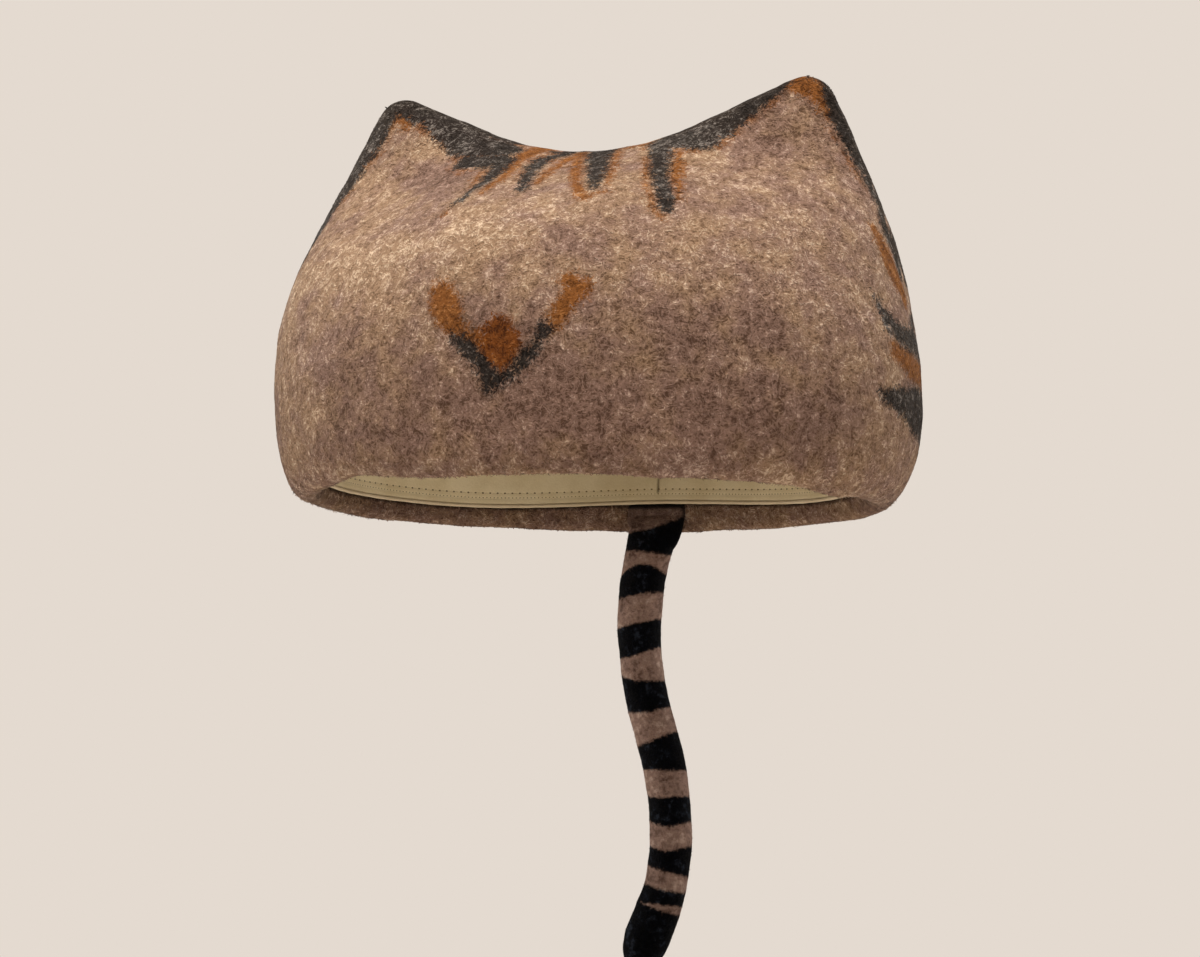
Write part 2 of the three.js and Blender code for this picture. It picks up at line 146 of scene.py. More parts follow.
# Coat marks drawn in coloured wool, by face and colour. A stroke runs through stops, each with
# its across, height and half width there. Across is x on the front and back, and y on the
# flanks. "both" flanks carry the same marks. Light strokes are painted highlight and deep
# strokes painted shade, and only shift the heather.
MARKS = {
    ("front", "dark"): (
        # The ear at the picture's left: its outer edge and its ridge
        ((-114, 92, 16.5), (-110, 104, 12.8), (-103, 122, 11.4), (-96, 138, 13.2), (-86, 152, 5.6)),
        ((-86, 152, 4.8), (-64, 143, 7.2)),
        ((-64, 143, 7.6), (-48, 132, 10)),
        ((-48, 131, 10), (-34, 127, 9)),
        ((-84, 154, 4.2), (-34, 133.5, 6.5)),
        # First forehead stripe, round the ear's foot
        ((-43, 120.5, 6.6), (-30, 120, 6)),
        ((-27.5, 120, 4.8), (-27.5, 107, 2.9), (-34, 94, 1.5)),
        # Two stripes in the middle
        ((-14, 126.5, 2.6), (-4, 126.5, 2.2)),
        ((-7, 126, 3.2), (-13.5, 120, 4), (-12.5, 112, 3.4), (-9, 101, 2.3)),
        ((5, 127, 6.2), (15, 110.5, 4.2), (20, 99.5, 1.9)),
        # Fourth stripe and the ridge of the ear at the picture's right
        ((31, 127, 5.8), (35, 119, 4.8), (39.5, 108, 3.8), (46, 97, 3.8), (48.5, 91, 3.4)),
        ((34, 127, 8), (47, 127, 9.2)),
        ((47, 127.5, 8.6), (57, 135, 6.4), (66, 142.5, 4.8), (74, 148.5, 3.2)),
        ((30, 132, 5.5), (74, 150, 4.2)),
        ((32, 128.2, 6), (46, 130.2, 6.6)),
        ((35, 131, 7), (52, 134, 6.4)),
        ((45, 136, 5), (66, 145.2, 5)),
        ((46, 130.2, 6.6), (60, 137.4, 4.6)),
        # That ear's outer edge
        (
            (91.5, 149, 4.2), (98, 135, 6.4), (106, 117, 4.8), (112.5, 101, 3.4), (115, 93, 4.4),
            (118, 84, 4.2),
        ),
        ((118, 84, 5), (120.5, 76, 2.6)),
        # The V under the nose
        ((-21.5, 41, 1.9), (-15, 36, 3.5), (-9.5, 31, 3), (-6, 25.5, 4.1), (-5.5, 21.5, 2.8)),
        ((-5, 23.5, 2.4), (0, 24.5, 3), (3, 27.5, 2.4), (8, 32, 3.9), (12, 37, 2.2), (14.5, 42.5, 3.2)),
        # Over the saddle
        ((48, 138.8, 4.5), (64, 146, 4.5)),
        ((-9, 127.8, 3.2), (-9, 126.6, 2.8)),
        ((6, 128, 5.2), (6, 127, 5.6)),
    ),
    ("front", "orange"): (
        # Tan beside the ears and the stripes
        ((-80, 147, 4.4), (-76.5, 141, 3)),
        ((-82, 143, 2), (-90, 131, 1.2)),
        ((-73, 143, 1.8), (-57, 130, 1.5)),
        ((-57, 130, 1), (-43, 114, 1.2)),
        ((-33.5, 113, 1.4), (-31.5, 104, 1)),
        ((-33.5, 95, 1.2), (-35.5, 91, 1)),
        ((-20, 129, 4.2), (-23, 120, 3.6), (-21.5, 110, 2.6), (-24.5, 101, 1.4)),
        ((0, 124, 3.6), (-3.5, 117, 2.6), (-5, 105, 1.5)),
        ((-2, 125, 3.6), (3, 117, 2)),
        ((3, 117, 2.5), (10.5, 104, 2.1), (17, 95.5, 2)),
        ((17, 95.5, 1.6), (25, 98, 1)),
        ((15.5, 122, 2.2), (19.5, 114, 1.6), (24, 101, 0.9)),
        ((17, 126, 2.6), (28, 127, 2.8)),
        ((41.5, 119, 2), (45.5, 108, 3), (50.5, 95, 1.7)),
        ((30.5, 117, 1.5), (37, 104, 1.3), (44, 92, 1.4), (48, 86.5, 1.3)),
        ((75, 149.5, 3.8), (82, 150.5, 6), (88.5, 147, 5.4), (95, 135, 2.6)),
        # Tan round the nose
        ((-27, 57, 5.2), (-25, 52, 6), (-20, 43.5, 4.4)),
        ((-18, 42, 3), (-10, 38, 3.2)),
        ((21.5, 60.5, 3.4), (26, 57, 4)),
        ((24.5, 57, 3.9), (20.5, 50.5, 3.8), (16.5, 43.5, 3)),
    ),
    ("front", "brown"): (
        ((-3, 42, 5.6), (-2.6, 36.5, 9), (-2, 33, 6.6)),
    ),
    ("back", "dark"): (
        # Ears and ridges
        ((112, 98, 6), (98, 130, 7), (84, 149, 8), (62, 139, 9)),
        ((62, 140, 10), (36, 130, 9)),
        ((-84, 149, 8), (-62, 139, 9)),
        ((-62, 140, 10), (-36, 130, 9)),
        ((80, 151, 5), (42, 135, 5.5)),
        ((34, 132.5, 4.5), (48, 138.8, 4.5), (66, 147, 4.5)),
        ((-80, 151, 5), (-42, 135, 5.5)),
        # Stripes down from the saddle
        ((-9, 128.2, 3.4), (-19, 119, 3.4)),
        ((6, 128.2, 5), (2, 119, 4.2)),
        ((31, 130.5, 5.4), (21, 119, 3.6)),
        ((-20, 127, 4.5), (-15, 100, 1)),
        ((2, 127, 5), (1, 88, 1.2)),
        ((22, 127, 4.5), (17, 100, 1)),
    ),
    ("both", "orange"): (
        ((-14, 90, 2.4), (-11.5, 82, 4.6), (-8, 75, 5), (-1, 66, 3.4)),
        ((-18, 44.5, 3.6), (-4, 40, 5.4)),
        ((-4, 40, 4.6), (30, 38, 5.4), (48, 37, 1)),
    ),
    ("both", "dark"): (
        # The ear's edge
        ((3, 146, 5), (4, 104, 5)),
        ((5, 90, 5), (8, 74, 2.4)),
        # Bands round the flank
        ((-25, 63, 1.4), (-21, 55, 3.4), (-12, 50.5, 4.8)),
        ((-12, 50.5, 4.6), (30, 50, 6.2), (54, 46, 1.2)),
        ((0, 54, 3), (9, 61, 3)),
        ((-27, 26.5, 2.4), (-14, 26, 5.4), (0, 25, 9), (34, 23, 9.6), (62, 26, 1.5)),
    ),
    # Painted highlight: lighter heather where more light falls, over the shoulder, up the left side and
    # by the ears
    ("front", "light"): (
        ((34, 124, 2), (56, 131, 2)),
        ((-118, 64, 3), (-84, 73, 3)),
        ((-92, 132, 3), (-62, 128, 3)),
        ((-84, 73, 3), (-30, 75, 2), (8, 92, 2)),
    ),
    # Painted shade: darker heather where less light falls, mostly low on the front and in the ears
    ("front", "deep"): (
        ((72, 137, 10), (94, 132, 11)),
        ((76, 146, 7), (90, 144, 8)),
        ((-82, 128, 5), (-44, 108, 2)),
        ((-12, 42, 4), (8, 38, 4)),
        ((-66, 42, 3), (-68, 14, 5)),
        ((-38, 26, 4), (-34, 14, 8)),
        ((-50, 14, 9), (38, 9, 8)),
        ((24, 20, 8), (104, 16, 8)),
        ((40, 43, 6), (88, 44, 7)),
    ),
    # Painted highlight high on the back
    ("back", "light"): (
        ((-100, 80, 8), (100, 80, 8)),
    ),
    # Painted shade low on the back
    ("back", "deep"): (
        ((-80, 24, 12), (80, 24, 12)),
    ),
}

# Where the soft front rim rides up or sags a little: x, y, reach, lift
RIM_WAVES = (
    (-64.0, -67.0, 19.0, 2.8),
    (103.0, -31.0, 13.0, -1.7),
)

# The tail from its flat sewn root to its tip: z, x, y, width, thickness
TAIL = (
    (5.0, 1.2, 79.0, 22.0, 1.6),
    (0.5, 1.2, 79.0, 24.0, 1.8),
    (-2.6, 1.2, 79.0, 24.4, 2.4),
    (-5.2, 1.2, 78.4, 24.0, 5.0),
    (-8.8, 0.9, 78.2, 22.6, 8.5),
    (-13.5, -0.7, 78.6, 19.8, 12.0),
    (-23.2, -2.8, 79.2, 18.3, 14.6),
    (-33.0, -4.2, 79.6, 18.3, 15.0),
    (-47.5, -4.9, 80.0, 17.9, 15.0),
    (-62.3, -3.5, 80.2, 17.0, 15.0),
    (-76.8, -0.6, 80.2, 17.3, 14.8),
    (-91.2, 4.0, 80.0, 17.3, 14.8),
    (-105.6, 8.2, 79.6, 17.2, 14.8),
    (-120.0, 10.7, 79.2, 16.8, 14.8),
    (-134.0, 11.6, 79.0, 17.1, 14.8),
    (-148.0, 10.3, 79.0, 16.8, 14.8),
    (-160.0, 7.0, 79.2, 18.0, 14.8),
    (-169.0, 3.5, 79.4, 18.6, 14.8),
    (-177.0, 0.7, 79.6, 16.2, 13.2),
    (-182.5, -1.0, 79.7, 10.0, 8.6),
    (-185.4, -1.8, 79.8, 2.4, 2.2),
)

# Dark bands round the tail, as heights at its left edge, middle and right edge:
# top left, top middle, top right, bottom left, bottom middle, bottom right
STRIPES = (
    (-13.1, -8.3, -3.5, -19.0, -17.6, -17.0),
    (-30.2, -22.6, -24.6, -37.4, -35.4, -33.0),
    (-48.6, -46.8, -44.2, -59.6, -59.7, -57.0),
    (-65.8, -69.6, -71.0, -79.6, -82.4, -82.6),
    (-93.4, -93.6, -92.0, -102.8, -105.4, -106.8),
    (-114.0, -116.0, -116.2, -124.0, -127.4, -125.8),
    (-134.6, -136.8, -134.4, -143.4, -144.6, -145.4),
    (-151.6, -151.6, -151.0, -160.0, -157.6, -156.0),
    (-158.6, -159.0, -159.0, -195.0, -195.0, -195.0),
)


def smooth_step(value, low, high):
    t = np.clip((value - low) / (high - low), 0, 1)
    return t * t * (3 - 2 * t)


def mix(a, b, share):
    return a + (b - a) * share


def through_rows(xs, ys, x):
    """A smooth line through a table's rows that never swings past them."""
    xs = np.asarray(xs, float)
    ys = np.asarray(ys, float)
    gap = np.diff(xs)
    slope = np.diff(ys) / gap
    lean = np.zeros(len(xs))
    for i in range(1, len(xs) - 1):
        if slope[i - 1] * slope[i] > 0:
            before = 2 * gap[i] + gap[i - 1]
            after = gap[i] + 2 * gap[i - 1]
            lean[i] = (before + after) / (before / slope[i - 1] + after / slope[i])
    lean[0] = slope[0]
    lean[-1] = slope[-1]
    x = np.clip(x, xs[0], xs[-1])
    i = np.clip(np.searchsorted(xs, x, side="right") - 1, 0, len(gap) - 1)
    t = (x - xs[i]) / gap[i]
    start = (2 * t**3 - 3 * t**2 + 1) * ys[i] + (t**3 - 2 * t**2 + t) * gap[i] * lean[i]
    end = (3 * t**2 - 2 * t**3) * ys[i + 1] + (t**3 - t**2) * gap[i] * lean[i + 1]
    return start + end


def bend_between(a, b, c, d):
    """Points on the smooth curve from a to d that b and c pull on."""
    t = np.linspace(0, 1, CURVE_STEPS + 1)[:, None]
    a, b, c, d = (np.array(p, float) for p in (a, b, c, d))
    return (1 - t) ** 3 * a + 3 * (1 - t) ** 2 * t * b + 3 * (1 - t) * t * t * c + t**3 * d


def side_line(inset):
    lean = math.radians(EAR_SIDE_LEAN)
    radius = EAR_TIP_RADIUS - inset
    end_x = EAR_TIP_X + radius * math.cos(lean)
    end_z = EAR_TIP_HEIGHT - EAR_TIP_RADIUS + radius * math.sin(lean)
    start_x = BULGE_HALF_WIDTH - inset
    under = (end_x + SIDE_UNDER_TIP * math.sin(lean), end_z - SIDE_UNDER_TIP * math.cos(lean))
    start = (start_x, BULGE_HEIGHT)
    above = (start_x, BULGE_HEIGHT + SIDE_RISE)
    return bend_between(start, above, under, (end_x, end_z))


def ridge_line(inset):
    lean = math.radians(EAR_SIDE_LEAN)
    slope = math.radians(EAR_RIDGE_LEAN)
    radius = EAR_TIP_RADIUS - inset
    turn = np.linspace(lean, math.pi / 2 + slope, TIP_STEPS)
    tip_z = EAR_TIP_HEIGHT - EAR_TIP_RADIUS + radius * np.sin(turn)
    tip = np.stack([EAR_TIP_X + radius * np.cos(turn), tip_z], 1)
    start = tip[-1]
    saddle = SADDLE_HEIGHT - inset
    off_tip = (
        start[0] - RIDGE_FROM_TIP * math.cos(slope),
        start[1] - RIDGE_FROM_TIP * math.sin(slope),
    )
    rest = bend_between(start, off_tip, (RIDGE_TO_SADDLE, saddle), (0, saddle))
    return np.concatenate([tip, rest[1:]])


def dent_depth(side, x, z):
    depth = np.zeros_like(x)
    for row_side, row_x, row_z, long, wide, turn, deep in DENTS:
        turn = math.radians(turn)
        along = (x - row_x) * math.cos(turn) + (z - row_z) * math.sin(turn)
        across = -(x - row_x) * math.sin(turn) + (z - row_z) * math.cos(turn)
        pressed = deep * np.exp(-((along / long) ** 2) - (across / wide) ** 2)
        depth += np.where(side == row_side, pressed, 0)
    return depth


def legs(rows):
    """Every row of a table with the one after it."""
    return zip(rows[:-1], rows[1:])


def sway_at(z):
    shift = np.full_like(np.asarray(z, float), SWAY[0][1])
    for (low, before), (high, after) in legs(SWAY):
        shift = np.where(z >= low, mix(before, after, smooth_step(z, low, high)), shift)
    return shift


def wall_rings(up, angle, inset):
    """Rings of the wall above the bulge, one for each share of the way up."""
    up = np.asarray(up, float)[:, None]
    angle = np.asarray(angle, float)[None]
    side = side_line(inset)
    top = ridge_line(inset)
    level = mix(BULGE_HEIGHT, side[-1, 1], up)
    drawn_in = (np.interp(level, side[:, 1], side[:, 0]) - side[0, 0]) / (side[-1, 0] - side[0, 0])
    steps = np.linalg.norm(np.diff(top, axis=0), axis=1)
    run = np.concatenate([[0], np.cumsum(steps)]) / np.sum(steps)
    face = np.where(np.sin(angle) < -1e-9, -1, 1)
    hand = np.where(np.cos(angle) < -1e-9, -1, 1)
    to_middle = np.arcsin(np.minimum(1, np.abs(np.sin(angle)))) / (math.pi / 2)
    ridge_x = np.interp(to_middle**RIDGE_SPREAD, run, top[:, 0])
    ridge_z = np.interp(to_middle**RIDGE_SPREAD, run, top[:, 1])
    bulge_x = (BULGE_HALF_WIDTH - inset) * np.abs(np.cos(angle))
    bulge_y = (np.where(face < 0, BULGE_FRONT, BULGE_BACK) - inset) * np.abs(np.sin(angle))
    x = hand * mix(bulge_x, ridge_x, drawn_in)
    z = mix(BULGE_HEIGHT, ridge_z, up)
    rows = np.array(WALL)[::-1]
    below_ridge = np.sqrt(1 - up)
    row_marks = np.sqrt(1 - rows[:, 0])
    middle = through_rows(row_marks, rows[:, 1], below_ridge)
    ear = through_rows(row_marks, rows[:, 2], below_ridge)
    middle_share = smooth_step(to_middle, EAR_SHARE_ENDS, MIDDLE_SHARE_STARTS)
    full = bulge_y * mix(ear, middle, middle_share)
    side_of = np.broadcast_to(face, x.shape)
    free = smooth_step(full, 4, 16)
    y = face * (full - free * dent_depth(side_of, x, z))
    return np.stack([x + sway_at(z), y, z], -1)


def oval_ring(angle, outset, front_outset, back_outset, z, tuck, shift=0.0):
    depth = np.where(np.sin(angle) < 0, front_outset, back_outset)
    x = (HEAD_HALF_WIDTH + outset) * np.cos(angle) + shift
    bow = 1 - smooth_step(np.abs(x - TAIL_ROOT_X), TAIL_TUCK_FULL, TAIL_TUCK_END)
    bow = np.where(np.sin(angle) > 0, bow, 0)
    y = (HEAD_HALF_DEPTH + depth) * np.sin(angle) + tuck * bow
    return np.stack([x, y, np.full_like(x, z)], -1)


def even_ring(angle, outset, z, tuck, shift=0.0):
    return oval_ring(angle, outset, outset, outset, z, tuck, shift)


def ring_angles(count):
    return np.arange(count) * 2 * math.pi / count


def back_rise(x, y):
    """How far the band rides up at the back, over the tail's root."""
    near = 1 - smooth_step(np.abs(np.asarray(x) - TAIL_ROOT_X), 0, BAND_RISE_REACH)
    return np.where(np.asarray(y) > 0, BAND_BACK_RISE * near, 0.0)


def lower_wall_rings(angle, inset, steps):
    rings = []
    for i in range(1, steps + 1):
        turn = i / steps * math.pi / 2
        out = 0 if i == steps else math.cos(turn) ** (2 / LOWER_WALL_FULLNESS)
        down = 1 if i == steps else math.sin(turn) ** (2 / LOWER_WALL_FULLNESS)
        z = mix(BULGE_HEIGHT, -LIP_DROP + inset, down)
        outsets = [mix(LIP_OUTSET, full - inset, out) for full in BULGE_OUTSETS]
        tuck = TAIL_TUCK_DEPTH * smooth_step(i / steps, 0.75, 1.0)
        rings.append(oval_ring(angle, *outsets, z, tuck, float(sway_at(z))))
    return np.array(rings)


def fold_rings(angle, inset, steps):
    rings = []
    for i in range(1, steps + 1):
        turn = i / steps * math.pi / 2
        outset = LIP_OUTSET - (LIP_OUTSET - LIP_INSIDE - inset) * math.sin(turn)
        z = FOLD_TOP - (FOLD_TOP + LIP_DROP - inset) * math.cos(turn)
        shift = float(sway_at(z)) * math.cos(turn)
        rings.append(even_ring(angle, outset, z, TAIL_TUCK_DEPTH, shift))
    return np.array(rings)


def ring_faces(rows, columns):
    """Quads over rings that close on themselves, as corner numbers."""
    row = np.arange(rows - 1)[:, None]
    column = np.arange(columns)[None]
    following = (column + 1) % columns
    a = row * columns + column
    b = row * columns + following
    c = (row + 1) * columns + following
    d = (row + 1) * columns + column
    return np.stack([a, d, c, b], -1).reshape(-1, 4).tolist()


def hoop_faces(rows, columns):
    """Quads over rings whose last ring is joined to the first, facing outward."""
    faces = ring_faces(rows, columns)
    last = (rows - 1) * columns
    for column in range(columns):
        following = (column + 1) % columns
        faces.append([last + column, column, following, last + following])
    return [face[::-1] for face in faces]


def rod_faces(rows, columns):
    """Quads over rings with a flat face at each end."""
    faces = ring_faces(rows, columns)
    faces.append(list(range(columns)))
    faces.append([(rows - 1) * columns + i for i in range(columns)][::-1])
    return faces


def put_in_scene(name, data):
    piece = bpy.data.objects.new(name, data)
    bpy.context.scene.collection.objects.link(piece)
    return piece


def make_mesh(name, points, faces, smooth=True):
    """A mesh object from corner places in millimetres and faces as lists of corner numbers."""
    mesh = bpy.data.meshes.new(name)
    mesh.from_pydata((np.asarray(points) * MM).tolist(), [], [list(f) for f in faces])
    mesh.validate()
    mesh.update()
    if smooth:
        mesh.polygons.foreach_set("use_smooth", np.ones(len(mesh.polygons), bool))
    return put_in_scene(name, mesh)


def corner_places(piece):
    places = np.zeros(len(piece.data.vertices) * 3)
    piece.data.vertices.foreach_get("co", places)
    return places.reshape(-1, 3) / MM


def move_corners(piece, places):
    piece.data.vertices.foreach_set("co", (places * MM).ravel())
    piece.data.update()


def corner_normals(piece):
    normals = np.zeros(len(piece.data.vertices) * 3, np.float32)
    piece.data.vertex_normals.foreach_get("vector", normals)
    return normals.reshape(-1, 3)


def keep_number(piece, name, values):
    attribute = piece.data.attributes.new(name, "FLOAT", "POINT")
    attribute.data.foreach_set("value", np.asarray(values, np.float32))


def bumps(places, layers):
    """Smooth random lumps, added up over layers that each have a size, a height and a seed."""
    total = np.zeros(len(places))
    for size, height, seed in layers:
        offset = Vector((seed * 17.3, seed * 5.1, seed * 9.7))
        total += height * np.array([soft_noise.noise(Vector(p) / size + offset) for p in places])
    return total


def folded_shell(rings):
    """Corner places and faces over rings whose first and last are folds from front to back."""
    columns = rings[0].shape[0]
    points = []
    numbers = []
    for row, ring in enumerate(rings):
        start = len(points)
        if row in (0, len(rings) - 1):
            points.extend((x, 0.0, z) for x, y, z in ring[: columns // 2 + 1])
            numbers.append([start + min(c, columns - c) for c in range(columns)])
        else:
            points.extend(ring.tolist())
            numbers.append(list(range(start, start + columns)))
    faces = []
    for upper, lower in legs(numbers):
        for column in range(columns):
            following = (column + 1) % columns
            corners = [upper[column], lower[column], lower[following], upper[following]]
            corners = list(dict.fromkeys(corners))
            if len(corners) > 2:
                faces.append(corners)
    return np.array(points), faces


# The felt body: corners round it, rows of its outside from the ridge down, rows of its inside
CROWN_COLUMNS = 400
WALL_ROWS = 96
LOWER_ROWS = 26
FOLD_ROWS = 14
INSIDE_WALL_ROWS = 18
INSIDE_LOWER_ROWS = 8
INSIDE_FOLD_ROWS = 4
RIDGE_CROWDING = 1.7


def make_crown():
    angle = ring_angles(CROWN_COLUMNS)
    up = 1 - np.linspace(0, 1, WALL_ROWS) ** RIDGE_CROWDING
    rings = list(wall_rings(up, angle, 0.0))
    rings += list(lower_wall_rings(angle, 0.0, LOWER_ROWS))
    rings += list(fold_rings(angle, 0.0, FOLD_ROWS))
    rings.append(even_ring(angle, LIP_INSIDE, HEM_MIDDLE, TAIL_TUCK_DEPTH))
    outside_rows = len(rings)
    rings.append(even_ring(angle, LIP_INSIDE, HEM_TOP, TAIL_TUCK_DEPTH))
    rings.append(even_ring(angle, LIP_INSIDE + FELT, HEM_TOP, TAIL_TUCK_DEPTH))
    rings += list(fold_rings(angle, FELT, INSIDE_FOLD_ROWS))[::-1]
    rings += list(lower_wall_rings(angle, FELT, INSIDE_LOWER_ROWS))[::-1]
    inside_up = 1 - (1 - np.linspace(0, 1, INSIDE_WALL_ROWS)) ** RIDGE_CROWDING
    rings += list(wall_rings(inside_up, angle, INSIDE_INSET))
    points, faces = folded_shell(rings)
    crown = make_mesh("felt_body", points, faces)
    ridge_corners = CROWN_COLUMNS // 2 + 1
    outside = np.arange(len(points)) < ridge_corners + (outside_rows - 1) * CROWN_COLUMNS
    return crown, outside


def wave_rim(places, inner_lip):
    """The corner places after the front rim's small waves, which fade out up the wall."""
    low = 1 - smooth_step(places[:, 2], -LIP_DROP, 9.0)
    low = np.where(inner_lip, 1 - smooth_step(places[:, 2], -LIP_DROP, -0.5), low)
    waved = places.copy()
    for x, y, reach, lift in RIM_WAVES:
        away = ((places[:, 0] - x) ** 2 + (places[:, 1] - y) ** 2) / reach**2
        waved[:, 2] += lift * np.exp(-away) * low * (places[:, 2] < RIM_ZONE_TOP)
    return waved


def surface_tree(piece):
    return BVHTree.FromPolygons(
        [v.co.copy() for v in piece.data.vertices],
        [tuple(p.vertices) for p in piece.data.polygons],
    )


def on_surface(tree, face, across, height):
    """The place on the hat's outside that faces the given way, at an across and a height."""
    starts = {
        "front": ((across, -300, height), (0, 1, 0)),
        "back": ((across, 300, height), (0, -1, 0)),
        "left": ((300, across, height), (-1, 0, 0)),
        "right": ((-300, across, height), (1, 0, 0)),
    }
    start, way = starts[face]
    hit = tree.ray_cast(Vector(start) * MM, Vector(way))[0]
    if hit is None:
        hit = tree.find_nearest(Vector((start[0] * (face in ("front", "back")), 0, height)) * MM)[0]
    return np.array(hit) / MM


def stroke_distance(places, tree, face, start, end):
    """How far each place is outside a stroke that runs over the hat between two stops."""
    (x1, z1, w1), (x2, z2, w2) = start, end
    shares = np.linspace(0, 1, STROKE_STEPS)
    line = [on_surface(tree, face, mix(x1, x2, share), mix(z1, z2, share)) for share in shares]
    best = np.full(len(places), np.inf)
    for i, (a, b) in enumerate(legs(line)):
        along = b - a
        share = np.clip((places - a) @ along / max(along @ along, 1e-9), 0, 1)
        away = np.linalg.norm(places - a - share[:, None] * along, axis=1)
        best = np.minimum(best, away - mix(w1, w2, (i + share) / (STROKE_STEPS - 1)))
    return best


def coat_marks(places, tree):
    """Distances outside the marks of each colour, in millimetres, kept within a limit."""
    colours = ("dark", "orange", "brown", "light", "deep")
    outside = {colour: np.full(len(places), FAR_OUTSIDE) for colour in colours}
    for (face, colour), strokes in MARKS.items():
        for side in ("left", "right") if face == "both" else (face,):
            for start, end in (leg for stops in strokes for leg in legs(stops)):
                found = stroke_distance(places, tree, side, start, end)
                outside[colour] = np.minimum(outside[colour], found)
    return outside


# Materials
def linear(code):
    """An sRGB hex colour as linear red, green, blue and alpha."""
    parts = [int(code[i : i + 2], 16) / 255 for i in (1, 3, 5)]
    parts = [p / 12.92 if p <= 0.04045 else ((p + 0.055) / 1.055) ** 2.4 for p in parts]
    return (*parts, 1.0)


def feed(tree, node, inputs):
    """Gives inputs of a node a value each, or the output socket that feeds them."""
    for key, value in inputs.items():
        socket = node.inputs[key]
        if isinstance(value, bpy.types.NodeSocket):
            tree.links.new(value, socket)
        else:
            socket.default_value = value


def add(tree, kind, inputs=None, **settings):
    """One node with its settings and inputs."""
    node = tree.nodes.new(kind)
    for key, value in settings.items():
        setattr(node, key, value)
    feed(tree, node, inputs or {})
    return node


def new_material(name):
    material = bpy.data.materials.new(name)
    material.use_nodes = True
    tree = material.node_tree
    tree.nodes.clear()
    shader = add(tree, "ShaderNodeBsdfPrincipled")
    out = add(tree, "ShaderNodeOutputMaterial", {"Surface": shader.outputs[0]})
    out.is_active_output = True
    return material, tree, shader


def calc(tree, operation, a, b=0.0, c=0.0, clamp=False):
    inputs = {0: a, 1: b, 2: c}
    return add(tree, "ShaderNodeMath", inputs, operation=operation, use_clamp=clamp).outputs[0]


def weighed(tree, start, *parts, clamp=False):
    """The start plus every part times its weight."""
    total = start
    for number, (value, weight) in enumerate(parts, 1):
        kept_in = clamp and number == len(parts)
        total = calc(tree, "MULTIPLY_ADD", value, weight, total, clamp=kept_in)
    return total


def object_place(tree):
    return add(tree, "ShaderNodeTexCoord").outputs["Object"]


def grain(tree, place, millimetres, detail=2.0, roughness=0.5, distortion=0.0):
    """Soft noise whose patches are about the given size."""
    inputs = {
        "Vector": place,
        "Scale": 1000.0 / millimetres,
        "Detail": detail,
        "Roughness": roughness,
        "Distortion": distortion,
    }
    return add(tree, "ShaderNodeTexNoise", inputs).outputs["Fac"]


def ease(tree, value, low, high, to_low=0.0, to_high=1.0):
    inputs = {"Value": value, 1: low, 2: high, 3: to_low, 4: to_high}
    return add(tree, "ShaderNodeMapRange", inputs, interpolation_type="SMOOTHSTEP").outputs[0]


def blend_colours(tree, share, a, b):
    return add(tree, "ShaderNodeMix", {0: share, 6: a, 7: b}, data_type="RGBA").outputs[2]


def relief(tree, height, strength, millimetres):
    """The normal that a height gives when it stands out by the given size."""
    inputs = {"Height": height, "Strength": strength, "Distance": millimetres * MM}
    return add(tree, "ShaderNodeBump", inputs).outputs[0]


def fibre_lines(tree, place, millimetres, distortion, width):
    """Winding bright lines, like the matted strands on a fulled surface."""
    value = grain(tree, place, millimetres, 1.0, 0.5, distortion)
    away = calc(tree, "ABSOLUTE", calc(tree, "SUBTRACT", value, 0.5))
    return ease(tree, away, 0.0, width, 1.0, 0.0)


def stored(tree, name):
    return add(tree, "ShaderNodeAttribute", attribute_name=name).outputs["Fac"]


def ground_normal(tree):
    """The direction that lights a loose fibre like the surface that it lies on."""
    return add(tree, "ShaderNodeAttribute", attribute_name="ground_normal").outputs["Vector"]


# Heathered wool in two blends, dark marks, tan marks and the tail's own two yarns
BEIGE = ("#634B39", "#9A7E66", "#DAC2A9")
MAUVE = ("#553F34", "#876C60", "#C8AFA0")
CHARCOAL = ("#0A0909", "#282524", "#807A76")
TAN = ("#4D2B0E", "#7F4D21", "#AF7944")
RUST = ("#401E07", "#713D11", "#9C622C")
TAIL_BROWN = ("#4E3B34", "#937A6F", "#CDB6A8")
TAIL_BLACK = ("#010102", "#04050A", "#343B48")

# How the coat marks meet the ground: millimetres inside and outside the edge, strength
TAN_EDGE = (-1.7, 1.8, 0.96, 0.0)
DARK_EDGE = (-1.6, 1.5, 0.97, 0.0)
# Painted highlight and painted shade strokes fade in over this edge
PAINTED_LIGHT_EDGE = (-4.0, 16.0, 1.0, 0.0)
FRAY = 4.6
FINE_FRAY = 6.4

# The tan fringe on the front of the crest: height and depth in metres between which it comes in
FRINGE_HEIGHT = (0.098, 0.116)
FRINGE_DEPTH = (-0.0095, -0.0065, 1.0, 0.0)


def three_tones(tree, tone, codes):
    """Dark, middle and light of one wool, where tone runs from 0 to 1."""
    low = blend_colours(tree, ease(tree, tone, 0.0, 0.5), linear(codes[0]), linear(codes[1]))
    return blend_colours(tree, ease(tree, tone, 0.5, 1.0), low, linear(codes[2]))


